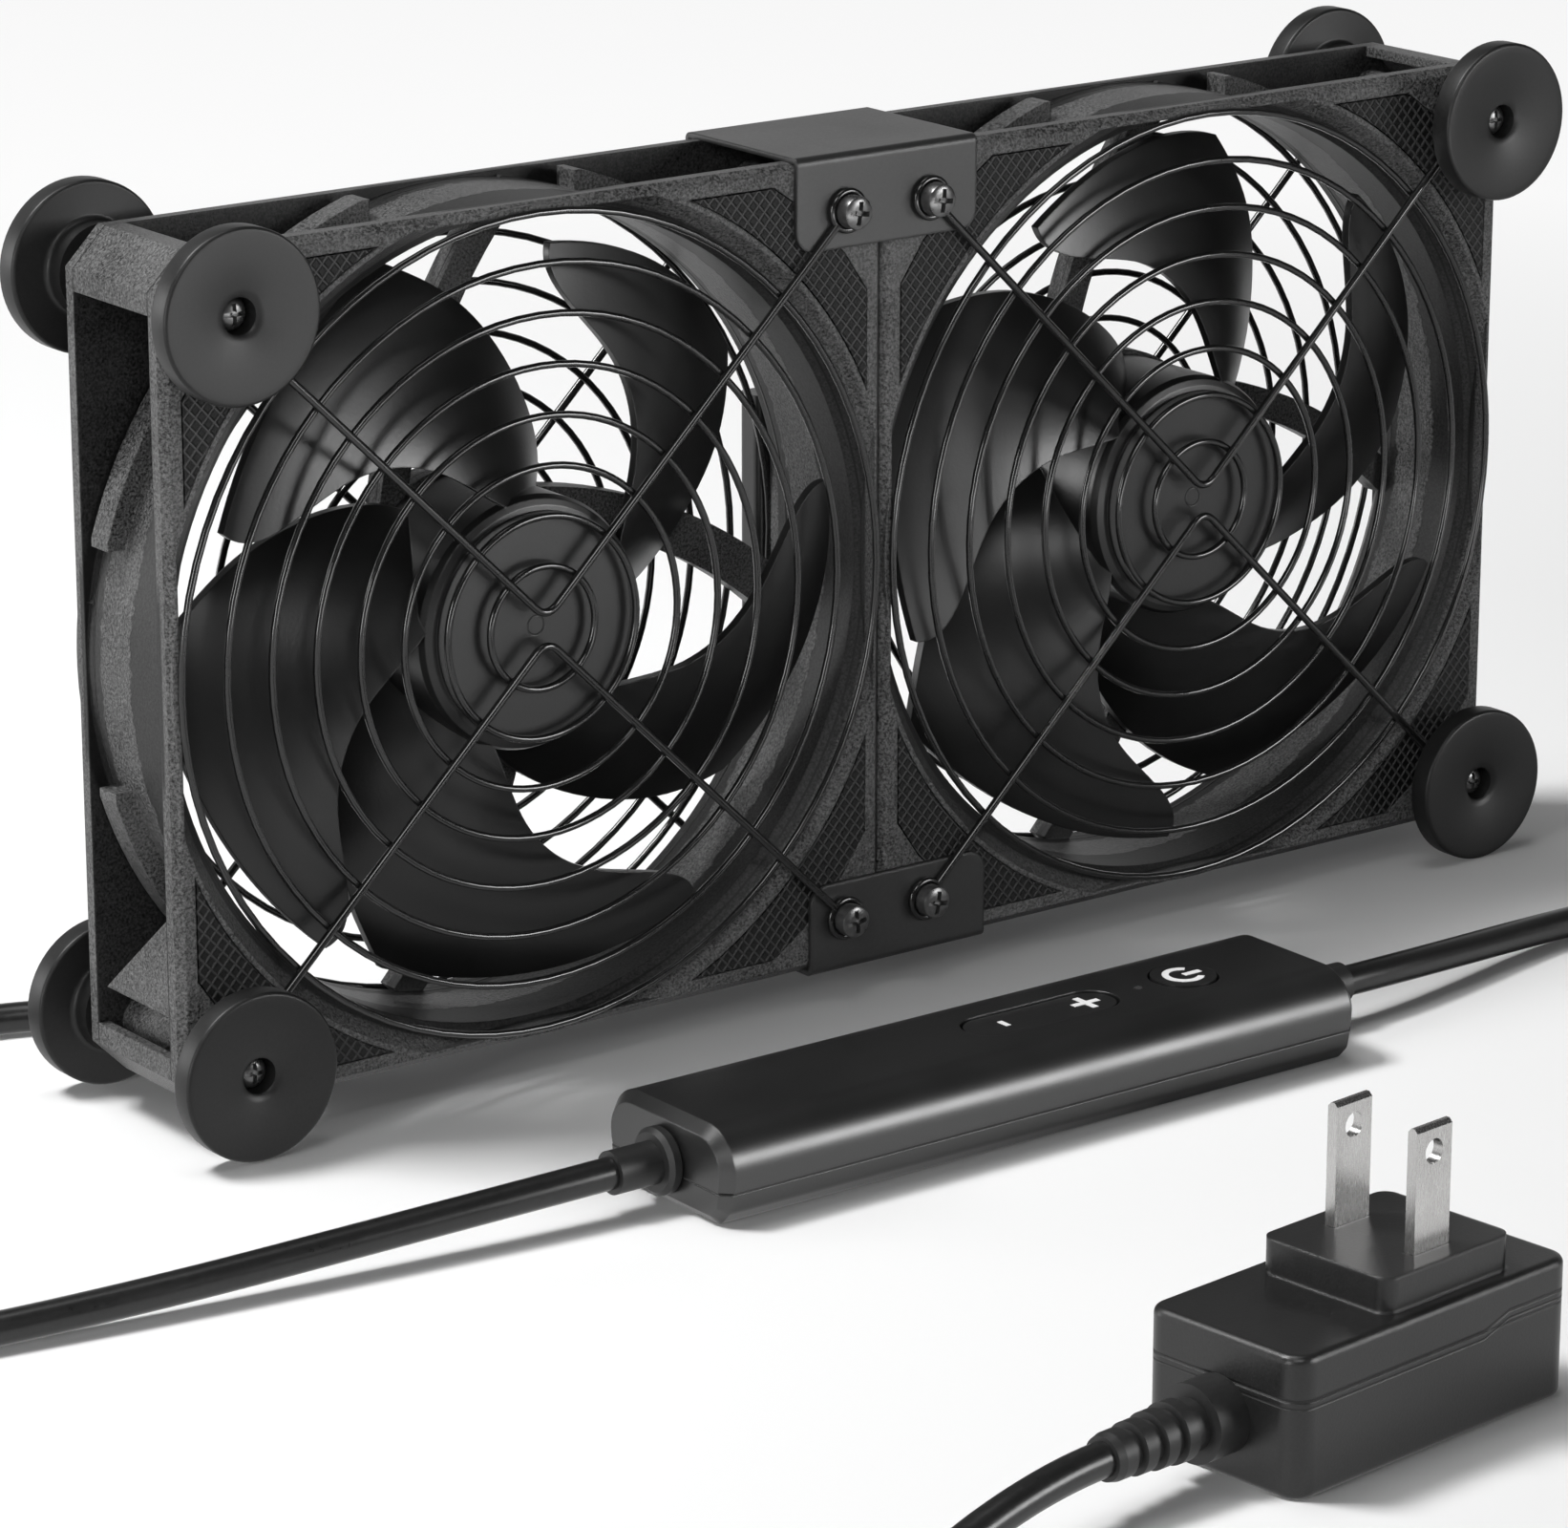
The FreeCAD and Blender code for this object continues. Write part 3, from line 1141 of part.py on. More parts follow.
# Spare cord in a flat coil: two layers of half turns, in along the floor and out on top
def coil_path():
    pitch, layer = s.coil_pitch.value, s.coil_layer.value
    radii = [s.coil_inner.value + pitch / 2 * n for n in (3, 2, 1)]
    radii = radii + [s.coil_inner.value] + [s.coil_inner.value + pitch / 2 * n for n in (1, 2, 3, 4)]
    low = s.cord_radius.value + s.tie_thick.value + s.tie_gap.value
    x = s.coil_x.value + radii[0]
    y = s.coil_y.value
    straight = 2 * s.cord_radius.value
    here = Vec(x, y, low)
    edges = [Part.LineSegment(here + Vec(0, straight, 0), here).toShape()]
    side = -1
    for number, radius in enumerate(radii):
        rise = layer if number == 3 else 0
        there = here + Vec(2 * radius * side, 0, rise)
        middle = (here + there) * 0.5 + Vec(0, side * math.hypot(radius, rise / 2), 0)
        edges.append(Part.Arc(here, middle, there).toShape())
        here = there
        side = -side
    edges.append(Part.LineSegment(here, here - Vec(0, straight, 0)).toShape())
    return Part.Wire(edges), radii


coil_wire, coil_radii = coil_path()
coil_start = coil_wire.Edges[0].Vertexes[0].Point
coil_end = coil_wire.Edges[-1].Vertexes[1].Point
coil = coil_wire.makePipeShell([cord_section(coil_start, Vec(0, -1, 0))], True, False)
keep("adapter_cord_coil", shaped("coil_tube", coil))
points = []
for edge in coil_wire.Edges:
    points += edge.discretize(40)[:-1]
lengths = [0.0]
for a, b in zip(points, points[1:]):
    lengths.append(lengths[-1] + (b - a).Length)
least = min((a - b).Length for i, a in enumerate(points) for j, b in enumerate(points)
            if lengths[j] - lengths[i] > 40)
print("coil length", round(coil_wire.Length, 1), "least gap", round(least - 2 * s.cord_radius.value, 3),
      "volume ratio", round(coil.Volume / (section_area * coil_wire.Length), 4))

# Tie round the coil's far side
tie_low = s.tie_thick + s.tie_gap
span_in = s.cord_radius.value + s.tie_gap.value
left_tubes = [p.x for p in points if abs(p.y - s.coil_y.value) < 2 and p.x < s.coil_x.value]
wide_in = max(left_tubes) - min(left_tubes) + 2 * span_in
tall_in = s.coil_layer.value + 2 * span_in
tie_mid = (max(left_tubes) + min(left_tubes)) / 2
tie_height = s.tie_thick.value + tall_in / 2
tie = cut("tie_ring",
          block("tie_out", wide_in + 2 * s.tie_thick, s.tie_width, tall_in + 2 * s.tie_thick,
                (tie_mid, s.coil_y, tie_height)),
          block("tie_in", wide_in, s.tie_width * 2, tall_in, (tie_mid, s.coil_y, tie_height)))
keep("coil_tie", tie)

cord_form("adapter_cord", [
    ((control_right + boot_out).value, s.control_y.value, s.cable_height.value), (54, -66.2, 6.0), (97, -57.6, 2.4),
    (132, -60, 2.6), (coil_start.x, -88, coil_start.z), tuple(coil_start)])
relief_end = relief_spot + relief_turn.multVec(Vec(0, -s.relief_length.value, 0))
relief_way = relief_turn.multVec(Vec(0, -1, 0))
cord_form("adapter_cord_tail", [
    tuple(coil_end), (coil_end.x, -200, 4.0), (96, -238, 2.3), (36, -246, 2.3), (-25, -255, 2.3), (-85, -252, 2.3),
    (-138, -238, 2.3), (-154, -206, 2.3), (-130, -186, 3.0), tuple(relief_end + relief_way * 10), tuple(relief_end)])

doc.recompute()
for thing in doc.Objects:
    if "Invalid" in thing.State or "Error" in thing.State:
        raise RuntimeError(f"{thing.Label} did not build: {thing.State}")
for label, thing in made.items():
    if thing.Shape.isNull() or not thing.Shape.isValid() or not thing.Shape.Solids:
        raise RuntimeError(f"{label} is not a valid solid")
for label, thing in made.items():
    thing.Shape.exportStep(f"parts/{label}.step")
print(len(made), "sub-parts")
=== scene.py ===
import bpy
import bmesh
import json
import math
from mathutils import Matrix, Vector


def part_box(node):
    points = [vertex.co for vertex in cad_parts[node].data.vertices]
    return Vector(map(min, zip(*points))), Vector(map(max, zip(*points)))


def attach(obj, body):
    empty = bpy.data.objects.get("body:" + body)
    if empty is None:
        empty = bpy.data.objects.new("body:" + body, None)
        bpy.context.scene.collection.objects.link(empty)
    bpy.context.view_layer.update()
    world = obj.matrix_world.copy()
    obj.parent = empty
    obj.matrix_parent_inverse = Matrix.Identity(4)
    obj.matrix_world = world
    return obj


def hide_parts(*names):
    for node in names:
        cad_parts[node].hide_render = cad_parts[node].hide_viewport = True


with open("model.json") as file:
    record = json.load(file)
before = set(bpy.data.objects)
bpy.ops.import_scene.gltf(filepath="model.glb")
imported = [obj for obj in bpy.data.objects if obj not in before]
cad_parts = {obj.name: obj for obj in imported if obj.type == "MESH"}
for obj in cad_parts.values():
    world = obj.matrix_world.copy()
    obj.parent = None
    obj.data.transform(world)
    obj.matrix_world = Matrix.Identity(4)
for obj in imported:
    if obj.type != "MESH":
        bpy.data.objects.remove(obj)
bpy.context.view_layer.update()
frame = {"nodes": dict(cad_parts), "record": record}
nodes = frame["nodes"]
scene = bpy.context.scene
scene.view_settings.view_transform = "Standard"
mm = 0.001  # pieces are given in mm; camera, lamps and stage in metres
fanMiddles = {"left": (-60.0, 64.5), "right": (60.0, 64.5)}  # x and z of each fan's axle


def inPlace(name, data):
    piece = bpy.data.objects.new(name, data)
    scene.collection.objects.link(piece)
    return piece


# camera, fitted to the photographed edges of the two frames
shot = {"place": (-0.5200, -0.6795, 0.2894), "turn": -36.975, "down": 16.82, "lens": 139.0, "sensor": 36.0}
lens = bpy.data.cameras.new("shot")
lens.lens = shot["lens"]
lens.sensor_width = shot["sensor"]
lens.clip_start = 0.01
camera = inPlace("shot", lens)
camera.location = shot["place"]
camera.rotation_euler = (math.radians(90 - shot["down"]), 0, math.radians(shot["turn"]))
scene.camera = camera
print("camera placed")


class Wire:  # a shader socket that takes part in sums
    def __init__(self, tree, socket=None):
        self.tree = tree
        self.socket = socket

    def node(self, kind, settings=None, sockets=None, out=0):
        made = self.tree.nodes.new("ShaderNode" + kind)
        for name, value in (settings or {}).items():
            setattr(made, name, value)
        for name, value in (sockets or {}).items():
            if isinstance(value, Wire):
                self.tree.links.new(value.socket, made.inputs[name])
            else:
                made.inputs[name].default_value = value
        return Wire(self.tree, made.outputs[out])

    def math(self, operation, *values):
        return self.node("Math", {"operation": operation}, dict(enumerate(values)))

    def __add__(self, other):
        return self.math("ADD", self, other)

    def __radd__(self, other):
        return self.math("ADD", other, self)

    def __sub__(self, other):
        return self.math("SUBTRACT", self, other)

    def __rsub__(self, other):
        return self.math("SUBTRACT", other, self)

    def __mul__(self, other):
        return self.math("MULTIPLY", self, other)

    def __rmul__(self, other):
        return self.math("MULTIPLY", other, self)

    def low(self, other):
        return self.math("MINIMUM", self, other)

    def high(self, other):
        return self.math("MAXIMUM", self, other)

    def wave(self):  # 1 on whole numbers, 0 half way between them
        return self.math("ABSOLUTE", self.math("FRACT", self) - 0.5) * 2

    def ramp(self, start, end):  # 0 at start, 1 at end
        return self.node("MapRange", {}, {0: self, 1: start, 2: end, 3: 0.0, 4: 1.0})


class Finish:  # one material and what changes over its surface
    def __init__(self, name, **constants):
        self.material = bpy.data.materials.new(name)
        self.material.use_nodes = True
        self.tree = self.material.node_tree
        self.shader = self.tree.nodes["Principled BSDF"]
        self.wire = Wire(self.tree)
        self.place = self.wire.node("TexCoord", out="Object")
        for socket, value in constants.items():
            self.shader.inputs[socket.replace("_", " ")].default_value = value

    def feed(self, **sockets):
        for socket, value in sockets.items():
            self.tree.links.new(value.socket, self.shader.inputs[socket.replace("_", " ")])

    def noise(self, scale, detail=2.0, stretch=None, rough=0.5):
        place = self.place
        if stretch:
            place = self.wire.node("Mapping", {}, {"Vector": place, "Scale": stretch})
        sockets = {"Vector": place, "Scale": scale, "Detail": detail, "Roughness": rough}
        return self.wire.node("TexNoise", {}, sockets)

    def mottled(self, grain):  # fine grain, slow clouds and the tone they make together
        fine = self.noise(grain)
        broad = self.noise(70.0, 3.0)
        return fine, broad, (fine * 0.6 + broad * 0.4).ramp(0.3, 0.7)

    def axis(self, letter):
        return self.wire.node("SeparateXYZ", {}, {0: self.place}, out=letter)

    def around(self):  # distance from the nearer axle; the fans mirror each other
        x = self.wire.math("ABSOLUTE", self.axis("X")) - fanMiddles["right"][0] * mm
        z = self.axis("Z") - fanMiddles["right"][1] * mm
        return self.wire.math("SQRT", x * x + z * z)

    def band(self, value, start, end, fade):  # 1 between start and end, in mm
        rise = value.ramp((start - fade) * mm, (start + fade) * mm)
        return rise * (1 - value.ramp((end - fade) * mm, (end + fade) * mm))

    def blend(self, factor, first, second):
        sockets = {0: factor, 6: (*first, 1), 7: (*second, 1)}  # 6, 7 and out 2 are its colours
        return self.wire.node("Mix", {"data_type": "RGBA"}, sockets, out=2)

    def bump(self, height, strength, depth, edge=0.0):  # depth and rounded edge in mm
        sockets = {"Strength": strength, "Distance": depth * mm, "Height": height}
        if edge:
            sockets["Normal"] = self.wire.node("Bevel", {"samples": 4}, {"Radius": edge * mm})
        self.feed(Normal=self.wire.node("Bump", {}, sockets))


def grey(level, tint=0.0):
    return (level, level * (1 + tint / 2), level * (1 + tint))


def moulded(name, dark, light, rough, swing, grain, strength, depth=0.03, edge=0.0, **constants):
    finish = Finish(name, **constants)
    fine, broad, tone = finish.mottled(grain)
    finish.feed(Base_Color=finish.blend(tone, dark, light))
    finish.feed(Roughness=rough + (broad - 0.5) * swing + (fine - 0.5) * swing)
    finish.bump(fine, strength, depth, edge)
    return finish.material


def hatchedPad():
    # the hollows' colour is painted shade, far darker than the ridges
    pad = {"across": 1.93, "rise": 2.13, "ridge": grey(0.034), "hollow": grey(0.003), "rough": 0.46,
           "depth": 0.30}
    finish = Finish("padHatch", Specular_IOR_Level=0.22)
    x = finish.axis("X") * (1 / (pad["across"] * mm))
    z = finish.axis("Z") * (1 / (pad["rise"] * mm))
    hollow = (x + z).wave().low((x - z).wave()).ramp(0.12, 0.46)  # sunk diamonds in a net of ridges, the sunk ones painted dark as shade
    fine = finish.noise(2600.0)
    finish.feed(Base_Color=finish.blend(hollow, pad["ridge"], pad["hollow"]))
    finish.feed(Roughness=pad["rough"] + hollow * 0.16 + (fine - 0.5) * 0.2)
    finish.bump(fine * 0.15 - hollow, 0.9, pad["depth"])
    return finish.material


def grainedFrame():  # coarse spark grain, smooth duct and barrel with one grained belt, painted shade on the flanges' inner sides
    wall = {"duct": 55.5, "barrel": 61.5, "depth": 10.4, "flange": 9.5}
    belt = {"start": -1.5, "end": 6.2, "ragged": 2.2, "line": (7.8, 8.2)}
    look = {"dark": grey(0.002), "light": grey(0.13), "rough": 0.42, "depth": 0.20, "edge": 0.35}
    finish = Finish("framePlastic", Specular_IOR_Level=0.30)
    y = finish.axis("Y")
    coarse = finish.noise(2500.0, 3.0, rough=0.7)
    broad = finish.noise(60.0, 3.0)
    ragged = y + (finish.noise(420.0) - 0.5) * (belt["ragged"] * mm)  # the belt's uneven edges
    walls = finish.band(finish.around(), wall["duct"], wall["barrel"], 0.4)
    walls = walls * finish.band(y, -wall["depth"], wall["depth"], 0.2)
    smooth = walls * (1 - finish.band(ragged, belt["start"], belt["end"], 0.2))
    line = finish.band(y, *belt["line"], 0.1) * walls
    inner = finish.wire.math("ABSOLUTE", y)
    paintedInnerShade = finish.band(inner, wall["flange"] - 0.12, wall["flange"] + 0.12, 0.02)  # the flanges' inner sides, painted darker as shade, with less grain there
    # grain here also holds the painted shade on the flanges' inner sides
    grain = (1 - smooth * 0.82) * (1 - paintedInnerShade * 0.8)
    tone = (coarse * 0.8 + broad * 0.2).ramp(0.38, 0.66) * grain
    finish.feed(Base_Color=finish.blend(tone, look["dark"], look["light"]))
    rough = look["rough"] + (coarse - 0.5) * 0.5 * grain + (broad - 0.5) * 0.1 + smooth * 0.08
    finish.feed(Roughness=rough)
    finish.bump(coarse * grain + line * 1.5, 0.9, look["depth"], look["edge"])
    return finish.material


def gatedHub():  # blades and hub, with the round gate mark on the hub
    gate = {"inner": 1.28, "outer": 1.48, "depth": 0.10, "edge": 0.3}
    finish = Finish("impellerPlastic")
    mark = finish.band(finish.around(), gate["inner"], gate["outer"], 0.06)
    fine = finish.noise(1900.0)
    broad = finish.noise(45.0, 3.0)
    tone = (fine * 0.3 + broad * 0.7).ramp(0.3, 0.7)
    finish.feed(Base_Color=finish.blend(tone, grey(0.003), grey(0.007)))
    finish.feed(Roughness=0.33 + (broad - 0.5) * 0.10 + (fine - 0.5) * 0.06)
    finish.bump(fine * 0.2 - mark, 0.6, gate["depth"], gate["edge"])
    return finish.material


def splitShell(name, dark, light, rough, grain, strength, edge, partings, step=None, **constants):
    finish = Finish(name, **constants)  # two shells with a dark line where they part
    fine, broad, tone = finish.mottled(grain)
    z = finish.axis("Z")
    if step:  # the line climbs near one end
        turn = math.radians(step["turn"])
        along = finish.axis("X") * math.cos(turn) + finish.axis("Y") * math.sin(turn)
        z = z - along.ramp(step["start"] * mm, step["end"] * mm) * (step["rise"] * mm)
    line = finish.band(z, *partings[0], 0.08)
    for low, high in partings[1:]:
        line = line.high(finish.band(z, low, high, 0.08))
    finish.feed(Base_Color=finish.blend(tone * (1 - line), dark, light))
    finish.feed(Roughness=rough + (broad - 0.5) * 0.1 + (fine - 0.5) * 0.1 + line * 0.3)
    finish.bump(fine * strength - line * 1.4, 0.6, 0.12, edge)
    return finish.material


def brushed(name, dark, light, rough, stretch):
    finish = Finish(name, Metallic=1.0)
    lines = finish.noise(900.0, 3.0, stretch)
    broad = finish.noise(120.0)
    finish.feed(Base_Color=finish.blend((lines * 0.5 + broad * 0.5).ramp(0.3, 0.7), dark, light))
    finish.feed(Roughness=rough + (lines - 0.5) * 0.16)
    finish.bump(lines, 0.12, 0.02)
    return finish.material


controllerLines = [(4.70, 5.00)]
adapterLines = [(12.38, 12.82), (11.50, 11.78)]  # the parting groove and a finer one below it
adapterStep = {"turn": 6.6, "start": -65.4, "end": -60.9, "rise": 1.5}  # along the adapter's long side
finishes = {
    "frame_plastic": grainedFrame(),
    "impeller_plastic": gatedHub(),
    "pad_rubber": hatchedPad(),
    "guard_wire": moulded("guardWire", grey(0.004), grey(0.008), rough=0.34, swing=0.08, grain=700.0,
                          strength=0.05, depth=0.01, Coat_Weight=1.0, Coat_Roughness=0.13,
                          Specular_IOR_Level=0.1),
    "motor_steel": brushed("motorSteel", grey(0.36), grey(0.50), rough=0.34, stretch=(1, 6, 1)),
    "magnet": moulded("magnetFerrite", grey(0.05), grey(0.09), rough=0.6, swing=0.12, grain=2400.0,
                      strength=0.2),
    "bearing_bronze": brushed("bearingBronze", (0.48, 0.35, 0.17), (0.6, 0.45, 0.25), rough=0.42,
                              stretch=(1, 1, 1)),
    "copper": brushed("coilCopper", (0.5, 0.22, 0.1), (0.66, 0.31, 0.16), rough=0.3, stretch=(1, 14, 1)),
    "circuit_board": moulded("circuitBoard", (0.015, 0.09, 0.035), (0.03, 0.15, 0.06), rough=0.4, swing=0.1,
                             grain=1400.0, strength=0.15),
    "cord_jacket": moulded("cordJacket", grey(0.006), grey(0.012), rough=0.31, swing=0.10, grain=1500.0,
                           strength=0.12),
    "bracket_steel": moulded("bracketCoat", grey(0.010), grey(0.018), rough=0.38, swing=0.10, grain=2600.0,
                             strength=0.16, edge=0.6),
    "screw_steel": moulded("screwZinc", grey(0.08), grey(0.15), rough=0.30, swing=0.16, grain=1200.0,
                           strength=0.12, depth=0.02, Metallic=0.8),
    "foot_rubber": moulded("footRubber", grey(0.005), grey(0.010), rough=0.42, swing=0.10, grain=2200.0,
                           strength=0.14, Specular_IOR_Level=0.32),
    "boot_rubber": moulded("bootRubber", grey(0.007), grey(0.012), rough=0.48, swing=0.12, grain=1900.0,
                           strength=0.14),
    "controller_plastic": splitShell("controllerShell", grey(0.004), grey(0.010), rough=0.34, grain=4200.0,
                                     strength=0.12, edge=0.3, partings=controllerLines,
                                     Specular_IOR_Level=0.9),
    "button_plastic": moulded("buttonPlastic", grey(0.008), grey(0.013), rough=0.38, swing=0.08, grain=3800.0,
                              strength=0.16),
    "lens": moulded("lensClear", grey(0.02), grey(0.05), rough=0.12, swing=0.04, grain=900.0, strength=0.05,
                    depth=0.01),
    "adapter_plastic": splitShell("adapterShell", grey(0.004), grey(0.012), rough=0.34, grain=3000.0,
                                  strength=0.18, edge=0.7, partings=adapterLines, step=adapterStep),
    "plug_metal": brushed("plugNickel", grey(0.42, -0.03), grey(0.58, -0.02), rough=0.26, stretch=(8, 8, 1)),
}
slotOf = {part["node"]: part["material_slot"] for part in frame["record"]["subparts"]}
for name, node in nodes.items():
    node.data.materials.clear()
    node.data.materials.append(finishes[slotOf[name]])
print("finishes made", len(finishes))


def dress(piece, slot, body, *replaced):
    piece.data.materials.clear()
    piece.data.materials.append(finishes[slot])
    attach(piece, body)
    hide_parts(*replaced)


def roundLine(name, thick, fineness):
    line = bpy.data.curves.new(name, "CURVE")
    line.dimensions = "3D"
    line.bevel_depth = thick * mm / 2
    line.bevel_resolution = fineness
    line.use_fill_caps = True
    return line


def runSpline(line, points, fineness, thick=1.0):
    spline = line.splines.new("NURBS")
    spline.points.add(len(points) - 1)
    for knot, (x, y, z) in zip(spline.points, points):
        knot.co = (x * mm, y * mm, z * mm, 1)
        knot.radius = thick
    spline.order_u = 3  # both after the points, or the runs stay straight
    spline.use_endpoint_u = True
    spline.resolution_u = fineness


# cords, on the route's own points
cords = {"thick": 4.5, "fanLength": 0.4628, "adapterLength": 1.236}  # lengths in metres


def laidCord(name, points):
    line = roundLine(name, cords["thick"], 6)
    runSpline(line, points, 14)
    return inPlace(name, line)


fanRoute = [
    (0, 16.0, 44.25), (0, 16.0, 36), (0, 20.4, 2.3), (-42, 18.2, 2.3), (-70, 16.6, 2.3), (-92, 29, 2.3),
    (-114, 49, 2.3), (-158, 46, 2.3), (-202, 22, 2.3), (-230, -14, 2.3), (-222, -48, 2.3), (-172, -59, 2.4),
    (-100, -66.3, 6.0), (-87.4, -66.7, 6.3)]
fanCord = laidCord("fanCord", fanRoute)
dress(fanCord, "cord_jacket", "housing", "fan_cord")

coil = {"x": 132.65, "y": -150.0, "low": 3.75, "layer": 5.0, "outer": 27.65, "pitch": 2.55, "halves": 8,
        "inmost": 3, "knots": 8}  # the half turn numbered inmost climbs to the upper layer


def coilTurns():  # half turns inward on the floor, then outward on top of them
    x = coil["x"]
    side = -1
    height = coil["low"]
    knots = []
    outside = 1 / (0.75 + 0.25 * math.cos(math.pi / coil["knots"]))  # the spline runs inside its knots
    for number in range(coil["halves"]):
        radius = coil["outer"] - coil["pitch"] * min(number, 2 * coil["inmost"] - number)
        middle = x + side * radius
        swing = side * radius * outside
        rise = coil["layer"] if number == coil["inmost"] else 0
        for step in range(coil["knots"]):
            share = (step + 0.5) / coil["knots"]
            angle = math.pi * share
            y = coil["y"] + swing * math.sin(angle)
            knots.append((middle - swing * math.cos(angle), y, height + rise * share))
        x += 2 * side * radius
        height += rise
        side = -side
    return knots


adapterRoute = [
    (41.9, -66.7, 6.3), (54, -66.2, 6.0), (97, -57.6, 2.4), (132, -60, 2.6), (132.65, -88, 3.75),
    (132.65, -140, 3.75)]
adapterRoute += coilTurns()
adapterRoute += [
    (132.65, -160, 8.75), (132.65, -200, 4.0), (96, -238, 2.3), (36, -246, 2.3), (-25, -255, 2.3),
    (-85, -252, 2.3), (-138, -238, 2.3), (-154, -206, 2.3), (-130, -186, 3.0), (-108.63, -182.72, 8),
    (-98.70, -181.57, 8)]
adapterCord = laidCord("adapterCord", adapterRoute)
dress(adapterCord, "cord_jacket", "housing", "adapter_cord", "adapter_cord_coil", "adapter_cord_tail")
print("cords laid")


# wire guards: eight rings welded behind two bent stays
guard = {"rings": 8, "first": 8.8, "last": 58.5, "ringWire": 1.05, "ringDepth": 12.92, "stayWire": 1.2,
         "stayDepth": 13.85, "eye": 52.5, "eyeRadius": 2.8, "eyeWire": 1.0, "corner": 1.5, "bendRun": 5.5}


def ringSpline(line, middle, depth, radius, thick):  # a circle of eight curved runs
    spline = line.splines.new("BEZIER")
    spline.bezier_points.add(7)
    spline.use_cyclic_u = True
    spline.resolution_u = 10
    arm = radius * 4 / 3 * math.tan(math.pi / 16)
    for number, knot in enumerate(spline.bezier_points):
        angle = math.pi / 4 * number
        out = Vector((math.cos(angle), 0, math.sin(angle)))
        along = Vector((-math.sin(angle), 0, math.cos(angle)))
        here = Vector((middle[0], depth, middle[1])) + out * radius
        knot.handle_left_type = "FREE"
        knot.handle_right_type = "FREE"
        knot.co = here * mm
        knot.handle_left = (here - along * arm) * mm
        knot.handle_right = (here + along * arm) * mm
        knot.radius = thick


def stayOutline():  # a wide V from eye to eye
    corner = Vector((0, guard["corner"]))
    eye = Vector((guard["eye"], guard["eye"]))
    leg = (eye - corner).normalized()
    start = eye - leg * guard["eyeRadius"]
    bend = corner + leg * guard["bendRun"]
    half = [(bend.x, bend.y), (start.x, start.y)]
    return [(-x, z) for x, z in reversed(half)] + [(corner.x, corner.y)] + half


def wireGuard(name, side, way):
    line = roundLine(name, 1.0, 4)  # the wires scale this 1 mm line
    middleX, middleZ = fanMiddles[side]
    for number in range(guard["rings"]):
        radius = guard["first"] + (guard["last"] - guard["first"]) * number / (guard["rings"] - 1)
        ringSpline(line, fanMiddles[side], guard["ringDepth"] * way, radius, guard["ringWire"])
    depth = guard["stayDepth"] * way
    for up in (1, -1):
        stay = [(middleX + x, depth, middleZ + up * z) for x, z in stayOutline()]
        runSpline(line, stay, 12, guard["stayWire"])
        for across in (1, -1):
            eye = (middleX + across * guard["eye"], middleZ + up * guard["eye"])
            ringSpline(line, eye, depth, guard["eyeRadius"], guard["eyeWire"])
    return inPlace(name, line)


for side in fanMiddles:
    dress(wireGuard(side + "FrontWires", side, -1), "guard_wire", "housing", side + "_front_guard")
    dress(wireGuard(side + "RearWires", side, 1), "guard_wire", "housing", side + "_rear_guard")
print("guards bent")


# shared steps for pieces made as meshes
def asMesh(name, form):
    mesh = bpy.data.meshes.new(name)
    form.to_mesh(mesh)
    form.free()
    return mesh


def asPiece(name, form):
    bmesh.ops.recalc_face_normals(form, faces=form.faces)
    return inPlace(name, asMesh(name, form))


def soften(mesh, sharp):  # smooth, but for edges above that many degrees
    for face in mesh.polygons:
        face.use_smooth = True
    mesh.set_sharp_from_angle(angle=math.radians(sharp))


def arc(middle, radius, start, end, steps):  # from start to end in degrees
    points = []
    for step in range(steps + 1):
        angle = math.radians(start + (end - start) * step / steps)
        points.append((middle[0] + radius * math.cos(angle), middle[1] + radius * math.sin(angle)))
    return points


def circle(middle, radius, steps):
    return arc(middle, radius, 0, 360, steps)[:-1]


def carved(target, steps, crossing=False):  # the target's mesh after each cut or join
    for tool, how in steps:
        change = target.modifiers.new(tool.name, "BOOLEAN")
        change.operation = how
        change.solver = "EXACT"
        change.use_self = crossing
        change.object = tool
    made = bpy.data.meshes.new_from_object(target.evaluated_get(bpy.context.evaluated_depsgraph_get()))
    bpy.data.objects.remove(target)
    for tool, how in steps:
        bpy.data.objects.remove(tool)
    return made


# turned pieces: feet and screws about the Y axis, front face towards -Y
def turnedMesh(name, profile, sides):
    form = bmesh.new()
    rows = []
    for radius, depth in profile:
        if radius == 0:
            rows.append([form.verts.new((0, depth * mm, 0))] * sides)
        else:
            ring = circle((0, 0), radius, sides)
            rows.append([form.verts.new((x * mm, depth * mm, z * mm)) for x, z in ring])
    for first, second in zip(rows, rows[1:]):
        for i in range(sides):
            j = (i + 1) % sides
            corners = []
            for vert in (first[i], first[j], second[j], second[i]):
                if vert not in corners:
                    corners.append(vert)
            form.faces.new(corners)
    bmesh.ops.recalc_face_normals(form, faces=form.faces)
    return asMesh(name, form)


def spread(name, mesh, spots):  # one mesh of several separate copies
    form = bmesh.new()
    for x, y, z, rear, spin in spots:
        before = len(form.verts)
        form.from_mesh(mesh)
        form.verts.ensure_lookup_table()
        place = Matrix.Translation((x * mm, y * mm, z * mm))
        place = place @ Matrix.Rotation(math.pi if rear else 0, 4, "Z")
        place = place @ Matrix.Rotation(math.radians(spin), 4, "Y")
        bmesh.ops.transform(form, matrix=place, verts=form.verts[before:])
    made = asMesh(name, form)
    soften(made, 32)
    return inPlace(name, made)


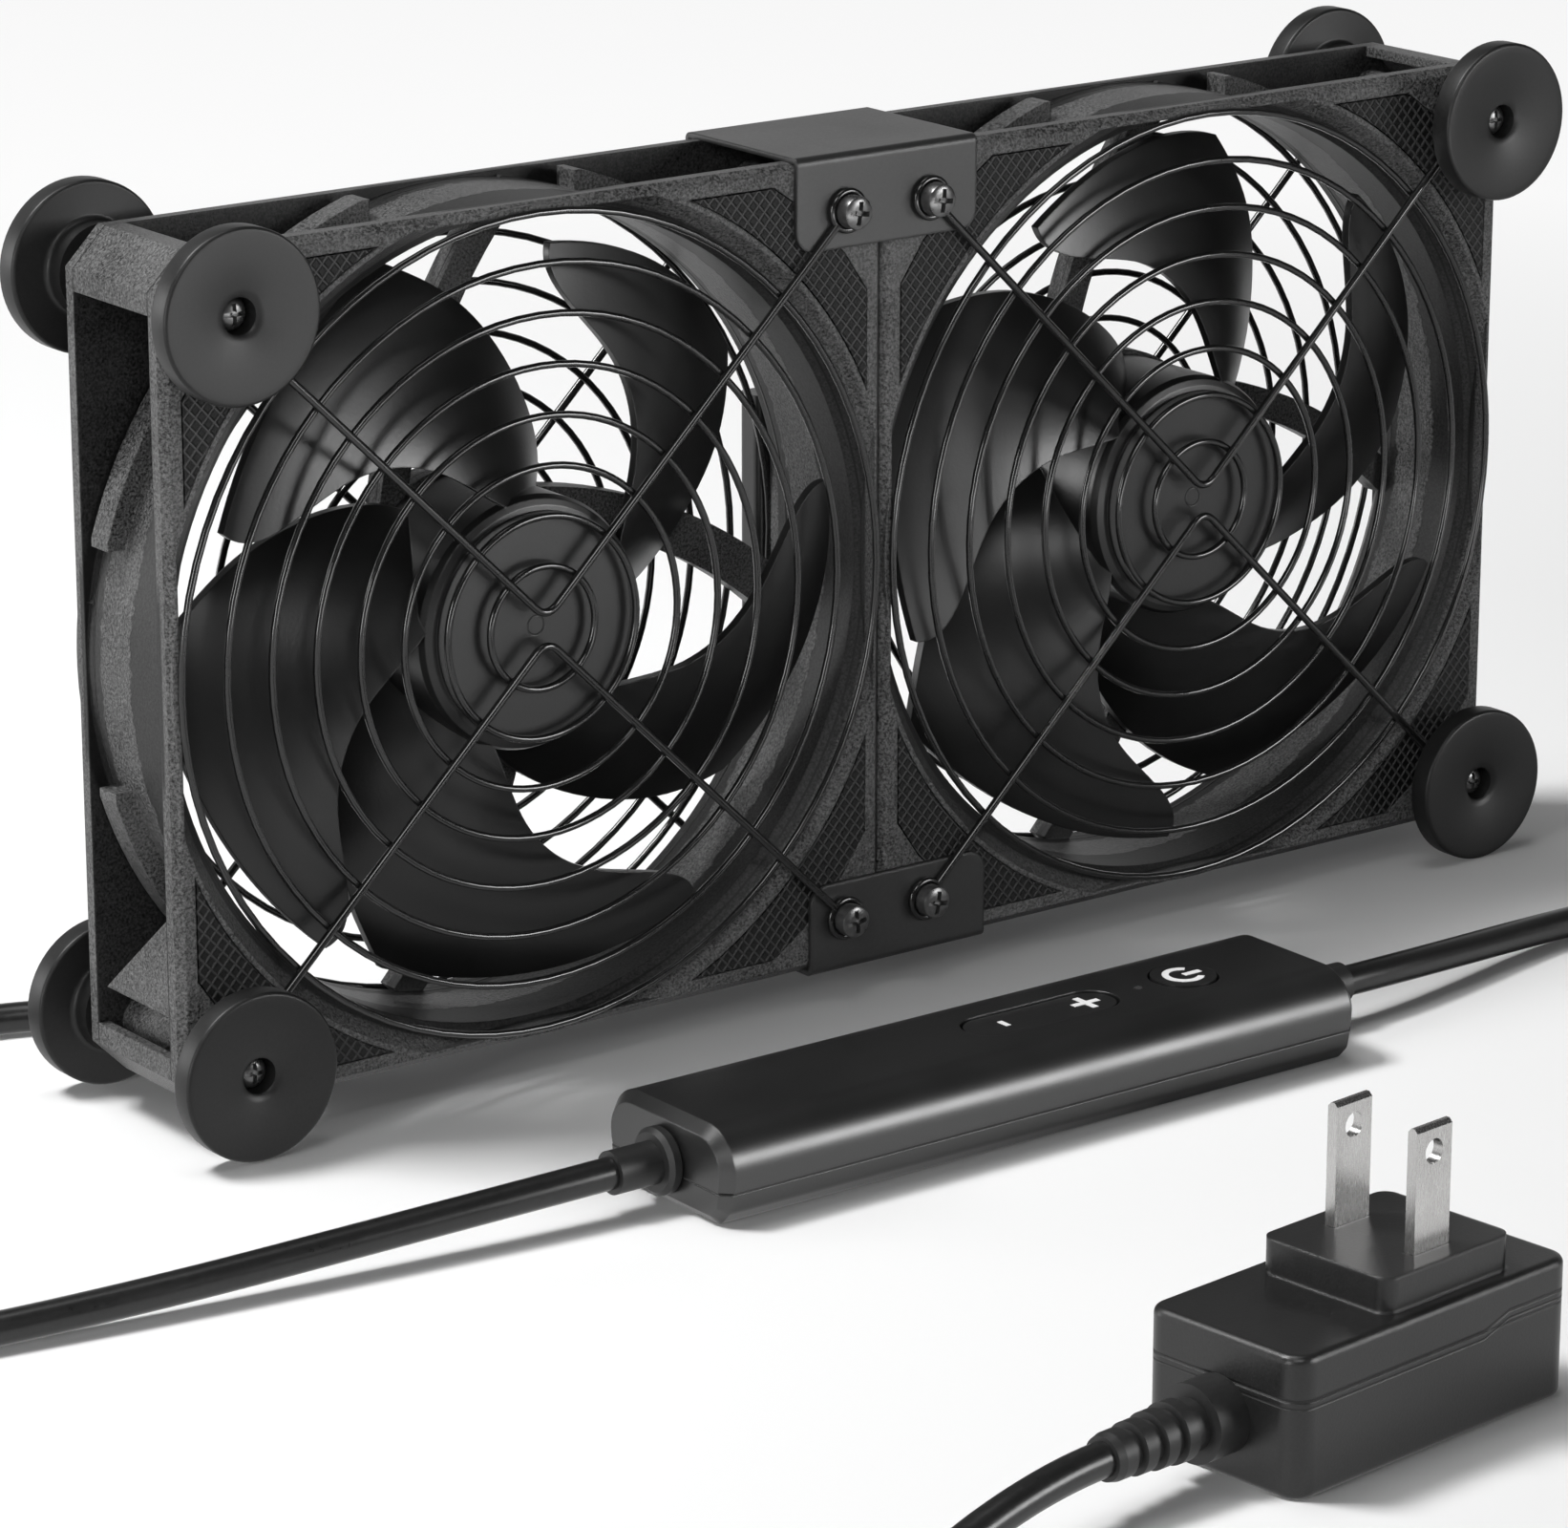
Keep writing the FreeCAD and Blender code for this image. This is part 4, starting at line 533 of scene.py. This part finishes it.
seat = 14.4  # outer side of the guard eyes
outerSpots = []
seamSpots = []
for rear in (False, True):
    for fanX, fanZ in fanMiddles.values():
        for across in (-guard["eye"], guard["eye"]):
            for up in (-guard["eye"], guard["eye"]):
                height = fanZ + up
                spin = (fanX * 7 + across * 3 + height * 5) % 17 - 8  # degrees, hardly two screws alike
                spot = (fanX + across, seat if rear else -seat, height, rear, spin)
                if fanX * across > 0:
                    outerSpots.append(spot)
                else:
                    seamSpots.append(spot)

foot = {"radius": 12.0, "disc": 3.8, "length": 7.0, "neck": 6.6, "hole": 2.55, "dish": 0.8, "dishRings": 10,
        "round": 0.55, "seat": 2.4, "bore": 1.85, "fillet": 0.8, "mouth": 0.35, "lip": 0.3, "sides": 72}


def footProfile():  # out of the hole, over dish and rim, down the neck and back through the bore
    rim, front, back = foot["radius"], -foot["length"], foot["disc"] - foot["length"]
    corner, fillet = foot["round"], foot["fillet"]
    start = foot["hole"] + foot["mouth"]
    hole = [(foot["hole"], -foot["seat"]), (foot["hole"], front + foot["dish"] + foot["lip"])]
    dish = []
    for ring in range(foot["dishRings"] + 1):
        share = ring / foot["dishRings"]
        dish.append((start + (rim - corner - start) * share, front + foot["dish"] * (1 - share) ** 2))
    edge = arc((rim - corner, front + corner), corner, -90, 0, 5)[1:]
    rear = arc((rim - corner, back - corner), corner, 0, 90, 5)
    neck = arc((foot["neck"] + fillet, back + fillet), fillet, 270, 180, 4)
    bore = [(foot["neck"], 0), (foot["bore"], 0), (foot["bore"], -foot["seat"]), hole[0]]
    return hole + dish + edge + rear + neck + bore


footMesh = turnedMesh("foot", footProfile(), foot["sides"])
dress(spread("rubberFeet", footMesh, outerSpots), "foot_rubber", "housing", "rubber_feet")

# crown: steps in from the head's radius and how far each stands up; cross: reach, width and depth
recess = {"wide": 0.95, "narrow": 0.3, "deep": 2.4, "sides": 12}  # the cross's middle, by its width and depth
footScrew = {"shank": 1.75, "head": 2.35, "height": 2.4, "length": 12.8, "sunk": 2.4, "tip": 1.2,
             "taper": 0.8, "crown": ((0, 1.1), (0.12, 1.5), (0.5, 1.95), (1.25, 2.3)),
             "cross": (1.45, 0.62, 0.95), "sides": 40}
seamScrew = {"shank": 2.05, "head": 2.42, "height": 2.3, "length": 11.0, "sunk": 0.0, "tip": 1.5,
             "taper": 0.8, "crown": ((0, 1.7), (0.10, 1.95), (0.42, 2.14), (1.22, 2.26)),
             "cross": (1.7, 0.74, 1.1), "sides": 44}


def screwProfile(screw):  # from the tip along the shank to the top of the head
    base = -screw["sunk"]
    end = screw["length"] - screw["sunk"]
    shank = [(0, end), (screw["tip"], end), (screw["shank"], end - screw["taper"]), (screw["shank"], base)]
    head = [(screw["head"], base)] + [(screw["head"] - inset, base - rise) for inset, rise in screw["crown"]]
    return shank + head + [(0, base - screw["height"])]


def crossHead(name, screw):
    reach, width, depth = screw["cross"]
    face = Matrix.Translation((0, -(screw["sunk"] + screw["height"]) * mm, 0))
    form = bmesh.new()
    for turn in (0, 90):
        arm = bmesh.ops.create_cube(form, size=1)
        size = Matrix.Diagonal((2 * reach * mm, 2 * depth * mm, width * mm, 1))
        place = face @ Matrix.Rotation(math.radians(turn), 4, "Y") @ size
        bmesh.ops.transform(form, verts=arm["verts"], matrix=place)
    point = bmesh.ops.create_cone(form, cap_ends=True, segments=recess["sides"],
                                  radius1=width * recess["wide"] * mm, radius2=width * recess["narrow"] * mm,
                                  depth=recess["deep"] * depth * mm)
    place = face @ Matrix.Rotation(math.radians(-90), 4, "X")
    bmesh.ops.transform(form, verts=point["verts"], matrix=place)
    driver = inPlace("crossTool", asMesh("crossTool", form))
    blank = inPlace(name, turnedMesh(name, screwProfile(screw), screw["sides"]))
    return carved(blank, [(driver, "DIFFERENCE")], crossing=True)


footScrews = spread("footScrews", crossHead("footScrew", footScrew), outerSpots)
dress(footScrews, "screw_steel", "housing", "foot_screws")
seamScrews = spread("seamScrews", crossHead("seamScrew", seamScrew), seamSpots)
dress(seamScrews, "screw_steel", "housing", "bracket_screws")
print("feet and screws turned")


# controller's upper shell, round along both sides, with the openings for its keys
# draft: steps in from the side and their heights; cable: radius and height; boss: half length, near and far
# rocker: middle, span and half width; power and lens: middle and radius
control = {"x": -22.75, "y": -66.7, "length": 111.5, "half": 13.8, "belly": 7.3, "round": 6.1, "bevel": 1.5,
           "draft": ((0.40, 4.8), (0.12, 5.9)), "cable": (2.65, 6.3), "cableReach": 70}
cavity = {"length": 105.9, "low": 4.0, "ceiling": 11.6, "shoulder": 3.0, "flat": 7.95, "boardRoom": 0.4}
opening = {"rocker": (8.6, 18.0, 4.15), "power": (34.65, 5.1), "lens": (26.25, 0.65), "low": 6.7, "high": 20}
pivot = {"z": 10.6, "radius": 1.02, "reach": 5.85, "boss": (2.22, 4.15, 6.75), "low": 8.45, "high": 12.2}


def loft(form, sections, axis=0):  # a closed body through outlines that stand across one axis
    rings = []
    for along, outline in sections:
        ring = []
        for first, second in outline:
            place = [first * mm, second * mm]
            place.insert(axis, along * mm)
            ring.append(form.verts.new(place))
        rings.append(ring)
    for near, far in zip(rings, rings[1:]):
        for i in range(len(near)):
            j = (i + 1) % len(near)
            form.faces.new((near[i], near[j], far[j], far[i]))
    form.faces.new(rings[0][::-1])
    form.faces.new(rings[-1])


def prism(form, outline, low, high, axis):
    loft(form, [(low, outline), (high, outline)], axis)


def shellSection(inset):
    half = control["half"] - inset
    side = [(half - slope, z) for slope, z in control["draft"]]
    side += arc((control["half"] - control["round"], control["belly"]), control["round"] - inset, 0, 90, 10)
    return side + [(-y, z) for y, z in reversed(side)]


def shellBody():
    form = bmesh.new()
    end = control["length"] / 2
    ends = [(end, control["bevel"]), (end - control["bevel"], 0)]
    sections = [(-x, shellSection(inset)) for x, inset in ends]
    sections += [(x, shellSection(inset)) for x, inset in reversed(ends)]
    loft(form, sections)
    return asPiece("controllerShell", form)


def shellCavity():
    form = bmesh.new()
    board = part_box("controller_board")
    half = (board[1][1] - board[0][1]) / mm / 2 + cavity["boardRoom"]
    side = [(half, cavity["low"]), (half, cavity["ceiling"] - cavity["shoulder"]),
            (cavity["flat"], cavity["ceiling"])]
    outline = side + [(-y, z) for y, z in reversed(side)]
    prism(form, outline, -cavity["length"] / 2, cavity["length"] / 2, axis=0)
    return asPiece("controllerInside", form)


def pivotBosses():
    form = bmesh.new()
    half, near, far = pivot["boss"]
    low, high = pivot["low"], pivot["high"]
    middle = opening["rocker"][0]
    for first, second in ((near, far), (-far, -near)):
        outline = [(first, low), (second, low), (second, high), (first, high)]
        prism(form, outline, middle - half, middle + half, axis=0)
    return asPiece("controllerBosses", form)


def keyOpenings():
    form = bmesh.new()
    middle, span, half = opening["rocker"]
    outline = arc((middle + span / 2, 0), half, -90, 90, 24) + arc((middle - span / 2, 0), half, 90, 270, 24)
    prism(form, outline, opening["low"], opening["high"], axis=2)
    for middle, half in (opening["power"], opening["lens"]):
        prism(form, circle((middle, 0), half, 48), opening["low"], opening["high"], axis=2)
    return asPiece("controllerOpenings", form)


def pivotSockets():
    form = bmesh.new()
    outline = circle((opening["rocker"][0], pivot["z"]), pivot["radius"], 24)
    prism(form, outline, -pivot["reach"], pivot["reach"], axis=1)
    return asPiece("controllerSockets", form)


def cordNecks():
    form = bmesh.new()
    radius, height = control["cable"]
    prism(form, circle((0, height), radius, 32), -control["cableReach"], control["cableReach"], axis=0)
    return asPiece("controllerNeck", form)


def upperShell():
    steps = [(shellCavity(), "DIFFERENCE"), (pivotBosses(), "UNION"), (keyOpenings(), "DIFFERENCE"),
             (pivotSockets(), "DIFFERENCE"), (cordNecks(), "DIFFERENCE")]
    made = carved(shellBody(), steps)
    made.transform(Matrix.Translation((control["x"] * mm, control["y"] * mm, 0)))
    soften(made, 24)
    return inPlace("controllerTop", made)


dress(upperShell(), "controller_plastic", "housing", "controller_upper_shell")
print("controller shell cut")


# signs on the controller's keys, thin inlays just above the keys
signs = {"minus": -20.6, "plus": -6.0, "power": 11.9}  # where each stands along X
inlaid = {"thick": 0.06, "sunk": 0.02}  # above and below the key's top
minusSize = {"half": 0.42, "reach": 1.05}
plusArm = {"half": 0.5, "reach": 0.9, "lift": 1.4}
powerSize = {"outer": 3.05, "inner": 2.05, "gap": 45}
powerBar = {"half": 0.5, "reach": 1.5, "lift": 1.6, "angle": -90}
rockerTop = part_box("speed_rocker")[1][2] / mm
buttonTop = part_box("power_button")[1][2] / mm
markWhite = moulded("markWhite", grey(0.72), grey(0.80), rough=0.45, swing=0.06, grain=2600.0, strength=0.1,
                    depth=0.01)


def inlay(name, outlines, x, top, body):
    form = bmesh.new()
    for outline in outlines:
        placed = [(x + right, control["y"] + back) for right, back in outline]
        prism(form, placed, top - inlaid["sunk"], top + inlaid["thick"], axis=2)
    piece = asPiece(name, form)
    piece.data.materials.append(markWhite)
    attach(piece, body)


def bar(half, reach, angle=0.0, lift=0.0):
    corners = [(-half, -reach + lift), (half, -reach + lift), (half, reach + lift), (-half, reach + lift)]
    cos, sin = math.cos(math.radians(angle)), math.sin(math.radians(angle))
    return [(x * cos - y * sin, x * sin + y * cos) for x, y in corners]


inlay("minusMark", [bar(**minusSize)], signs["minus"], rockerTop, "rocker")
plusOutline = []
for turn in (0, 90, 180, 270):
    plusOutline += bar(angle=turn, **plusArm)[1:]
inlay("plusMark", [plusOutline], signs["plus"], rockerTop, "rocker")
gap = powerSize["gap"]  # the ring is open this far to each side of its bar
openRing = arc((0, 0), powerSize["outer"], gap, 360 - gap, 40)
openRing += arc((0, 0), powerSize["inner"], 360 - gap, gap, 40)
inlay("powerMark", [openRing, bar(**powerBar)], signs["power"], buttonTop, "power_key")
print("signs set")


# floor of white paper, glowing white far off to the camera, and glowing at the left and front in reflections
# only, which paints reflections on the black parts
paper = {"half": 4.0, "white": 0.90, "near": 0.04, "far": 0.8, "fade": (0.25, 0.60), "mirrored": 0.75,
         "left": (-0.10, 0.0), "front": (-0.25, -0.18), "frontRight": (0.03, 0.08)}
corners = [(x * paper["half"], y * paper["half"], 0) for x, y in ((-1, -1), (1, -1), (1, 1), (-1, 1))]
floorMesh = bpy.data.meshes.new("floor")
floorMesh.from_pydata(corners, [], [(0, 1, 2, 3)])
floor = inPlace("floor", floorMesh)
floorFinish = bpy.data.materials.new("floorPaper")
floorFinish.use_nodes = True
floorTree = floorFinish.node_tree
floorTree.nodes.remove(floorTree.nodes["Principled BSDF"])
sheet = Wire(floorTree)
cameraRay = sheet.node("LightPath", out="Is Camera Ray")
glossRay = sheet.node("LightPath", out="Is Glossy Ray")
floorPlace = sheet.node("TexCoord", out="Object")
floorX = sheet.node("SeparateXYZ", {}, {0: floorPlace}, out="X")
floorY = sheet.node("SeparateXYZ", {}, {0: floorPlace}, out="Y")
distance = sheet.node("VectorMath", {"operation": "LENGTH"}, {0: floorPlace}, out="Value")
reflectionGlowLeft = 1 - floorX.ramp(*paper["left"])
reflectionGlowFront = (1 - floorY.ramp(*paper["front"])) * (1 - floorX.ramp(*paper["frontRight"]))
bright = cameraRay * (paper["near"] + distance.ramp(*paper["fade"]) * paper["far"])  # white far off
mirrored = glossRay * reflectionGlowLeft.high(reflectionGlowFront) * paper["mirrored"]  # a glow seen only in reflections: painted reflections on the black parts
matte = sheet.node("BsdfDiffuse", {}, {"Color": (*grey(paper["white"]), 1)})
glow = sheet.node("Emission", {}, {"Color": (1, 1, 1, 1), "Strength": 1.0})
shown = sheet.node("MixShader", {}, {0: bright.high(mirrored), 1: matte, 2: glow})
floorTree.links.new(shown.socket, floorTree.nodes["Material Output"].inputs["Surface"])
floorMesh.materials.append(floorFinish)

# room: white to the camera, faint as light, a pale backdrop behind the object in mirrors
room = {"light": 0.06, "dark": 0.04, "backdrop": 0.66, "behind": (-0.1, 0.5), "above": (0.25, 0.6)}
world = bpy.data.worlds.new("studio")
scene.world = world
world.use_nodes = True
background = world.node_tree.nodes["Background"]
background.inputs["Color"].default_value = (1, 1, 1, 1)
air = Wire(world.node_tree)
toCamera = air.node("LightPath", out="Is Camera Ray")
toMirror = air.node("LightPath", out="Is Glossy Ray")
aim = air.node("TexCoord", out="Generated")
behind = air.node("SeparateXYZ", {}, {0: aim}, out="Y").ramp(*room["behind"])
lowDown = 1 - air.node("SeparateXYZ", {}, {0: aim}, out="Z").ramp(*room["above"])
inMirror = room["dark"] + behind * lowDown * room["backdrop"]
seen = toCamera.high(room["light"] + toMirror * (inMirror - room["light"]))
world.node_tree.links.new(seen.socket, background.inputs["Strength"])

# lamps: a sheen card only shows as a highlight, a fill makes none and leaves the floor alone
lamps = {
    "topSheet": {"place": (-0.10, 0.12, 1.30), "target": (0, 0, 0), "size": (0.6, 0.6), "power": 4},
    "keyBack": {"place": (-0.58, 0.42, 1.25), "target": (0, 0, 0.03), "size": (0.35, 0.35), "power": 18},
    "rimLeft": {"place": (-0.95, 1.0, 0.25), "target": (0, 0, 0.06), "size": (0.45, 0.4), "power": 4},
    "leftStrip": {"place": (-1.20, -0.32, 0.24), "target": (0, 0, 0.07), "size": (0.28, 0.46), "power": 4.4},
    "sideRight": {"place": (0.62, -0.95, 0.29), "target": (0, -0.05, 0.03), "size": (0.40, 0.34),
                  "power": 6.5, "sheen": True},
    "lowCard": {"place": (0.08, -0.44, 0.012), "target": (0.08, -0.44, 1), "size": (0.34, 0.24),
                "power": 2.0, "sheen": True},
    "frontTop": {"place": (-0.55, -0.85, 0.90), "target": (-0.1, -0.1, 0), "size": (0.6, 0.30),
                 "power": 4, "sheen": True},
    "frontFill": {"place": (-0.75, -0.90, 0.55), "target": (0, 0, 0.06), "size": (0.5, 0.5),
                  "power": 9, "fill": True},
}
spared = bpy.data.collections.new("fillSpares")
spared.objects.link(floor)
spared.collection_objects[0].light_linking.link_state = "EXCLUDE"


def softbox(name, place, target, size, power, sheen=False, fill=False):
    lamp = bpy.data.lights.new(name, "AREA")
    lamp.shape = "RECTANGLE"
    lamp.size, lamp.size_y = size
    lamp.energy = power
    box = inPlace(name, lamp)
    box.location = place
    box.rotation_euler = (Vector(target) - Vector(place)).to_track_quat("-Z", "Y").to_euler()
    box.visible_camera = False
    box.visible_diffuse = not sheen
    box.visible_glossy = not fill
    if fill:
        box.light_linking.receiver_collection = spared


for name, lamp in lamps.items():
    softbox(name, **lamp)
print("stage lit")
